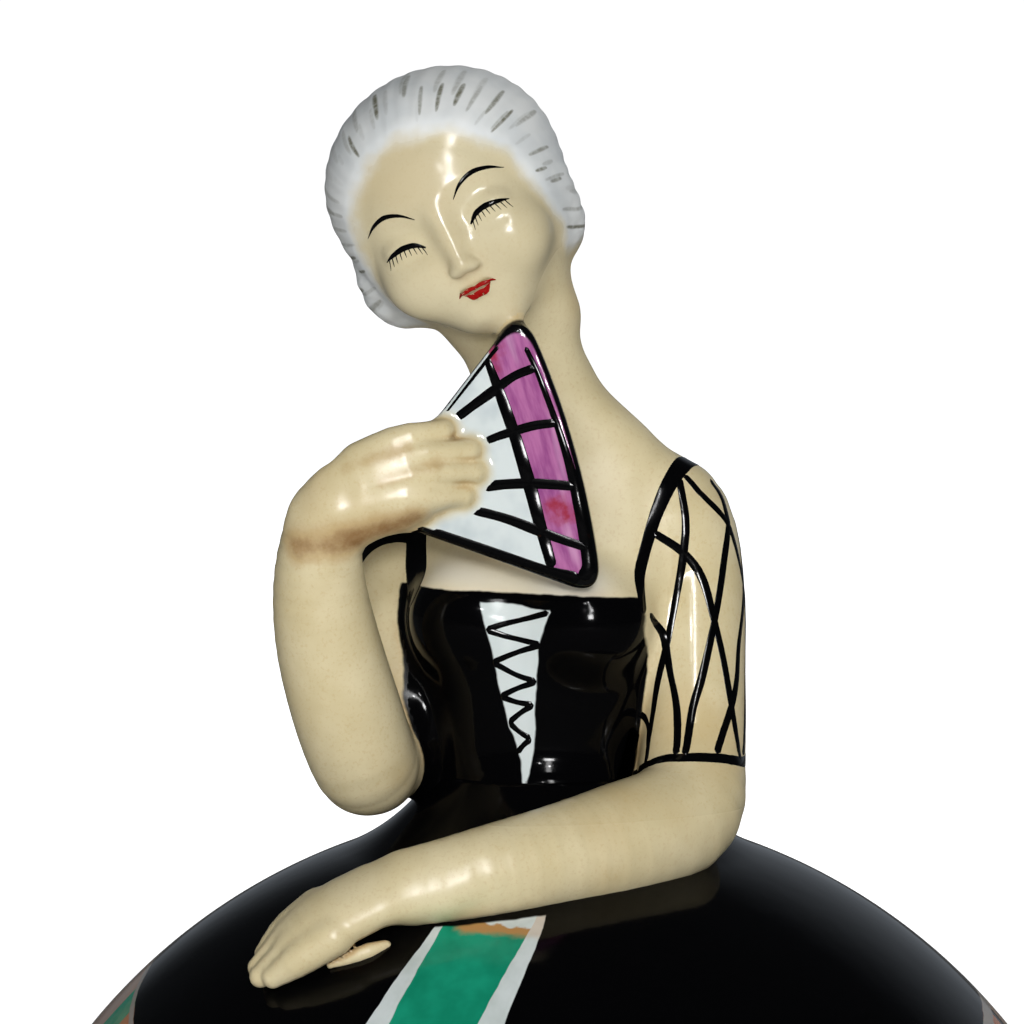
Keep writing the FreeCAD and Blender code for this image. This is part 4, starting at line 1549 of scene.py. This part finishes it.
def turned_pad(name, rows, turns, shift):
    """Closed turned form whose points shift() moves; rows are radius, height, from axis to axis."""
    points, faces = [(0.0, 0.0, rows[0][1])], []
    for r, z in rows[1:-1]:
        for i in range(turns):
            points.append(shift(r, z, 2 * math.pi * i / turns))
    points.append(shift(0.0, rows[-1][1], 0.0))
    last = len(points) - 1
    rings = len(rows) - 2
    for i in range(turns):
        j = (i + 1) % turns
        faces.append((0, 1 + j, 1 + i))
        faces.append((last, last - turns + i, last - turns + j))
        for k in range(rings - 1):
            a, b = 1 + k * turns + i, 1 + k * turns + j
            faces.append((a, b, b + turns, a + turns))
    return new_object(name, points, faces)


def puff_down():
    random = np.random.default_rng(7)
    waves = [(random.integers(5, 34), random.uniform(0, 6.3), random.uniform(0.15, 0.5)) for _ in range(9)]

    def tufted(r, z, turn):
        lump = sum(h * math.sin(n * turn + phase + z * 0.5) for n, phase, h in waves) * 0.4
        r = r + lump * min(r / PUFF_R, 1.0)
        return polar(r, turn, max(z + 0.25 * lump, PUFF_BOTTOM_Z))

    edge = [pad_outline(k / 22)[:2] for k in range(23)]
    underside = [(r, PUFF_BOTTOM_Z) for r in (0.0, 10.0, 20.0)]
    rows = [*underside, *edge, (18.0, PUFF_TOP_Z - 0.5), (0.0, PUFF_TOP_Z - 0.5)]
    pad = turned_pad("puff_down_pad", rows, 180, tufted)
    s = Shade("down")
    clump = s.step(s.noise(420, 4.0, 0.65), 0.34, 0.68)
    colour = s.mix(clump, DOWN_SHADE, DOWN_WHITE)
    relief = s.bump(s.noise(900, 4.0, 0.7), 0.8, 0.0006)
    material = s.finish(colour, 0.95, relief, Sheen_Weight=0.5, Sheen_Roughness=0.5, Specular_IOR_Level=0.1)
    piece(pad, "puff", material, ("puff_pile",))
    wisps = new_object("puff_down_wisps", *down_wisps(random))
    s = Shade("down_filament")
    colour = s.mix(s.step(s.noise(700, 3.0), 0.3, 0.7), DOWN_SHADE, DOWN_WHITE)
    relief = s.bump(s.noise(3000, 1.0), 0.2, 0.00005)
    material = s.finish(colour, 0.9, relief, Sheen_Weight=0.4, Specular_IOR_Level=0.1)
    piece(wisps, "puff", material)


def satin_material(name, pale, deep, threads, stretch):
    """Satin or ribbed silk: fine threads, soft lengthwise sheen and a little fading."""
    s = Shade(name)
    fade = s.step(s.noise(90, 3.0), 0.3, 0.75)
    colour = s.mix(fade, pale, deep)
    thread = s.noise(threads, 2.0, 0.6, s.stretched(*stretch))
    colour = s.mix(s.step(thread, 0.35, 0.7) * 0.25, colour, deep)
    rough = 0.34 + thread * 0.16
    return s.finish(colour, rough, s.bump(thread, 0.35, 0.00012), Sheen_Weight=0.35, Sheen_Roughness=0.3)


def backing_height(r):
    """Crown of the satin cap above its seam, at radius r."""
    return (BACKING_TOP_Z - PUFF_TOP_Z - 0.1) * math.cos(0.5 * math.pi * (r / BACKING_R) ** 2.2) ** 0.6


def puff_satin():
    def gathered(r, z, turn):
        """Pleats run from the middle to the seam and fade out at both."""
        inside = max(0.0, 1 - r / BACKING_R)
        pleat = 0.5 + 0.5 * math.sin(PLEATS * turn + 0.5 * math.sin(5 * turn) + 0.04 * r)
        sink = 0.6 * pleat**2 * min(1.0, r / 6.0) * min(1.0, inside * 6.0) if z > PUFF_TOP_Z + 0.05 else 0.0
        return polar(r, turn, z - sink)

    radii = np.linspace(BACKING_R, 0.0, 30)
    top = [(r, PUFF_TOP_Z + backing_height(r)) for r in radii[1:]]
    underside = [(r, PUFF_TOP_Z - 0.3) for r in (0.0, 14.0, BACKING_R - 0.6)]
    rows = [*underside, (BACKING_R, PUFF_TOP_Z), *top]
    cap = turned_pad("puff_satin_cap", rows, 288, gathered)
    satin = satin_material("rose_satin", SATIN, SATIN_DEEP, 900, (1.0, 0.2, 1.0))
    piece(cap, "puff", satin, ("puff_backing",))

    points = []
    for i in range(EDGING_RINGS):
        turn = 2 * math.pi * i / EDGING_RINGS
        for j in range(EDGING_SIDES):
            place = 2 * math.pi * j / EDGING_SIDES
            a = place + EDGING_TWISTS * turn
            thick = EDGING_R * (1 + 0.10 * math.cos(3 * place))
            r = BACKING_R - 0.2 + thick * math.cos(a)
            points.append(polar(r, turn, PUFF_TOP_Z + 0.35 + thick * math.sin(a)))
    edging = new_object("puff_satin_edging", points, tube_faces(0, EDGING_RINGS, EDGING_SIDES, looped=True))
    piece(edging, "puff", satin)


def stitch(points, faces, a, b, up, radius=0.16):
    """One raised thread from a to b, sunk at both ends."""
    along = unit(np.subtract(b, a))
    side = np.cross(up, along)
    base = len(points)
    for k in range(STITCH_RINGS):
        f = k / (STITCH_RINGS - 1)
        rise = 0.20 * math.sin(math.pi * f) - 0.06
        middle = np.array(a) + (np.array(b) - np.array(a)) * f + np.array(up) * rise
        for j in range(STITCH_SIDES):
            t = 2 * math.pi * j / STITCH_SIDES
            points.append(middle + side * (radius * math.cos(t)) + np.array(up) * (radius * math.sin(t)))
    faces += tube_faces(base, STITCH_RINGS, STITCH_SIDES, mirrored=True)


def puff_ribbon():
    """Ribbon handle: feet sewn flat on the cap, and a hoop standing between them."""
    foot_z = BACKING_TOP_Z + 0.05
    path = [(-10.6, foot_z), (-9.4, foot_z), (-8.3, foot_z + 0.1)]
    for k in range(25):
        angle = math.pi * (1 - k / 24)
        path.append((LOOP_R * math.cos(angle), foot_z + 0.35 + (LOOP_R - 0.8) * math.sin(angle)))
    path += [(8.3, foot_z + 0.1), (9.4, foot_z), (10.6, foot_z)]
    line = spline([(x, 0.0, z) for x, z in path], 110)
    tangent = np.gradient(line, axis=0)
    tangent /= np.linalg.norm(tangent, axis=1)[:, None]
    points = []
    for middle, along in zip(line, tangent):
        up = np.array([-along[2], 0.0, along[0]])
        for face in (1, -1):
            for j in range(RIBBON_ROWS):
                v = (j / (RIBBON_ROWS - 1) * 2 - 1) * face
                selvedge = 0.12 * smooth_step(abs(v), 0.84, 0.95)
                curl = -0.35 * v * v * smooth_step(middle[2], foot_z + 0.5, foot_z + 4.0)
                thick = face * (LOOP_THICK / 2 + selvedge)
                points.append(middle + up * (thick + curl) + np.array([0, v * LOOP_WIDTH / 2, 0]))
    ribbon = new_object("puff_ribbon_loop", points, tube_faces(0, len(line), RIBBON_ROWS * 2, mirrored=True))
    silk = satin_material("ribbed_silk", RIBBON, SATIN_DEEP, 1500, (1.0, 0.05, 1.0))
    piece(ribbon, "puff", silk, ("puff_loop",))

    points, faces = [], []
    for x in (-RIBBON_FOOT_X, RIBBON_FOOT_X):
        for k in range(-2, 3):
            y = k * RIBBON_STITCH_GAP
            for slope_y in (0.5, -0.5):
                ends = [(x + side * 0.55, y + side * slope_y, foot_z + 0.32) for side in (-1, 1)]
                stitch(points, faces, *ends, (0, 0, 1))
    seam_r = BACKING_R - 1.7
    seam_z = PUFF_TOP_Z + backing_height(seam_r)
    for k in range(STITCHES):
        a, b = (polar(seam_r, 2 * math.pi * (k + f) / STITCHES, seam_z) for f in (0.2, 0.75))
        stitch(points, faces, a, b, unit(polar(1.0, 2 * math.pi * (k + 0.475) / STITCHES, 1.0)))
    sewing = new_object("puff_stitches", points, faces)
    piece(sewing, "puff", satin_material("thread", THREAD, RIBBON, 2400, (1.0, 1.0, 1.0)))


def puff_pieces():
    puff_down()
    puff_satin()
    puff_ribbon()


# ------------------------------------------------------------------ light, floor and camera

FIGURE_MIDDLE = Vector((0.0, -5.0, 115.0)) * MM
FLOOR_R, FLOOR_SIDES = 4000.0, 96
LIGHTS = [  # name, azimuth and elevation, distance and size in metres, watts, and what it leaves out
    ("key", (19, 13), 0.95, (0.15, 0.12), 3.6, {}),
    ("sparkle_a", (20, 32), 0.90, (0.02, 0.02), 0.4, {}),
    ("sparkle_b", (10, 24), 0.90, (0.02, 0.02), 0.4, {}),
    ("gleam", (19, 25), 0.95, (0.07, 0.5), 2.6, {"diffuse": False}),
    ("front_fill", (10, 10), 1.2, (1.0, 1.0), 5.0, {"glossy": False}),
    ("back_fill", (170, 35), 1.2, (1.0, 1.0), 5.5, {"glossy": False}),
]
CAMERA_AZIMUTH, CAMERA_ELEVATION, CAMERA_DISTANCE = 16.0, 5.0, 0.7  # degrees and metres
CAMERA_TARGET = Vector((-4.2, -1.2, 118.0)) * MM
CAMERA_SENSOR, CAMERA_LENS = 36.0, 214.7


def area_light(name, place, width, height, power, glossy=True, diffuse=True):
    """Soft light aimed at the figure's middle; a fill makes no reflections, a gleam makes only those."""
    data = bpy.data.lights.new(name, "AREA")
    data.energy = power
    data.shape = "RECTANGLE"
    data.size = width
    data.size_y = height
    light = bpy.data.objects.new(name, data)
    bpy.context.scene.collection.objects.link(light)
    light.location = place
    light.rotation_mode = "QUATERNION"
    light.rotation_quaternion = (FIGURE_MIDDLE - place).to_track_quat("-Z", "Y")
    light.visible_glossy = glossy
    light.visible_diffuse = diffuse


def bearing(azimuth, elevation):
    """Unit vector from the object outwards; degrees from the front and from the horizontal."""
    a, e = math.radians(azimuth), math.radians(elevation)
    return Vector((math.sin(a) * math.cos(e), -math.cos(a) * math.cos(e), math.sin(e)))


def around(azimuth, elevation, distance):
    """A place round the figure, seen from its middle."""
    return bearing(azimuth, elevation) * distance + FIGURE_MIDDLE


def studio():
    scene = bpy.context.scene
    scene.view_settings.view_transform = "Standard"
    for name, direction, distance, size, power, kinds in LIGHTS:
        area_light(name, around(*direction, distance), *size, power, **kinds)

    world = bpy.data.worlds.new("studio")
    scene.world = world
    world.use_nodes = True
    tree = world.node_tree
    tree.nodes.clear()
    out = tree.nodes.new("ShaderNodeOutputWorld")
    seen = tree.nodes.new("ShaderNodeBackground")
    seen.inputs["Color"].default_value = (1, 1, 1, 1)
    seen.inputs["Strength"].default_value = 1.05
    lit = tree.nodes.new("ShaderNodeBackground")
    lit.inputs["Color"].default_value = (0.86, 0.95, 1.06, 1)
    place = tree.nodes.new("ShaderNodeTexCoord")
    axes = tree.nodes.new("ShaderNodeSeparateXYZ")
    tree.links.new(place.outputs["Generated"], axes.inputs[0])
    back = tree.nodes.new("ShaderNodeMapRange")
    back.interpolation_type = "SMOOTHSTEP"
    back.inputs["From Min"].default_value = 0.72
    back.inputs["From Max"].default_value = 0.98
    back.inputs["To Min"].default_value = 0.035
    back.inputs["To Max"].default_value = 0.26
    tree.links.new(axes.outputs["Y"], back.inputs["Value"])
    tree.links.new(back.outputs["Result"], lit.inputs["Strength"])
    path = tree.nodes.new("ShaderNodeLightPath")
    both = tree.nodes.new("ShaderNodeMixShader")
    tree.links.new(path.outputs["Is Camera Ray"], both.inputs["Fac"])
    tree.links.new(lit.outputs[0], both.inputs[1])
    tree.links.new(seen.outputs[0], both.inputs[2])
    tree.links.new(both.outputs[0], out.inputs["Surface"])

    s = Shade("pale_floor")
    colour = s.mix(s.noise(3.0, 2.0), (0.90, 0.90, 0.90, 1), (0.87, 0.87, 0.87, 1))
    colour = s.mix(s.add("ShaderNodeLightPath").outputs["Is Glossy Ray"], colour, (0.10, 0.10, 0.10, 1))
    x, y, _ = s.split()
    far = s.step(s.math("SQRT", x * x + y * y), 0.15, 0.6)
    seen = s.add("ShaderNodeLightPath").outputs["Is Camera Ray"]
    glow = 0.6 + far * 0.45
    s.put(s.bsdf.inputs["Emission Strength"], 0.05 + glow * seen)
    s.bsdf.inputs["Emission Color"].default_value = (1, 1, 1, 1)
    s.finish(colour, 0.9, Specular_IOR_Level=0.0)
    angles = [2 * math.pi * i / FLOOR_SIDES for i in range(FLOOR_SIDES)]
    ring = [(FLOOR_R * math.cos(angle), FLOOR_R * math.sin(angle), 0.0) for angle in angles]
    floor = new_object("floor", ring, [tuple(range(FLOOR_SIDES))])
    floor.data.materials.append(s.material)


def camera():
    back = bearing(CAMERA_AZIMUTH, CAMERA_ELEVATION)
    data = bpy.data.cameras.new("camera")
    data.sensor_width = CAMERA_SENSOR
    data.lens = CAMERA_LENS
    data.clip_start = 0.05
    data.clip_end = 20
    obj = bpy.data.objects.new("camera", data)
    bpy.context.scene.collection.objects.link(obj)
    obj.location = CAMERA_TARGET + back * CAMERA_DISTANCE
    obj.rotation_mode = "QUATERNION"
    obj.rotation_quaternion = (-back).to_track_quat("-Z", "Y")
    bpy.context.scene.camera = obj


figure_pieces()
painted_strokes()
skirt_pieces()
puff_pieces()
studio()
camera()
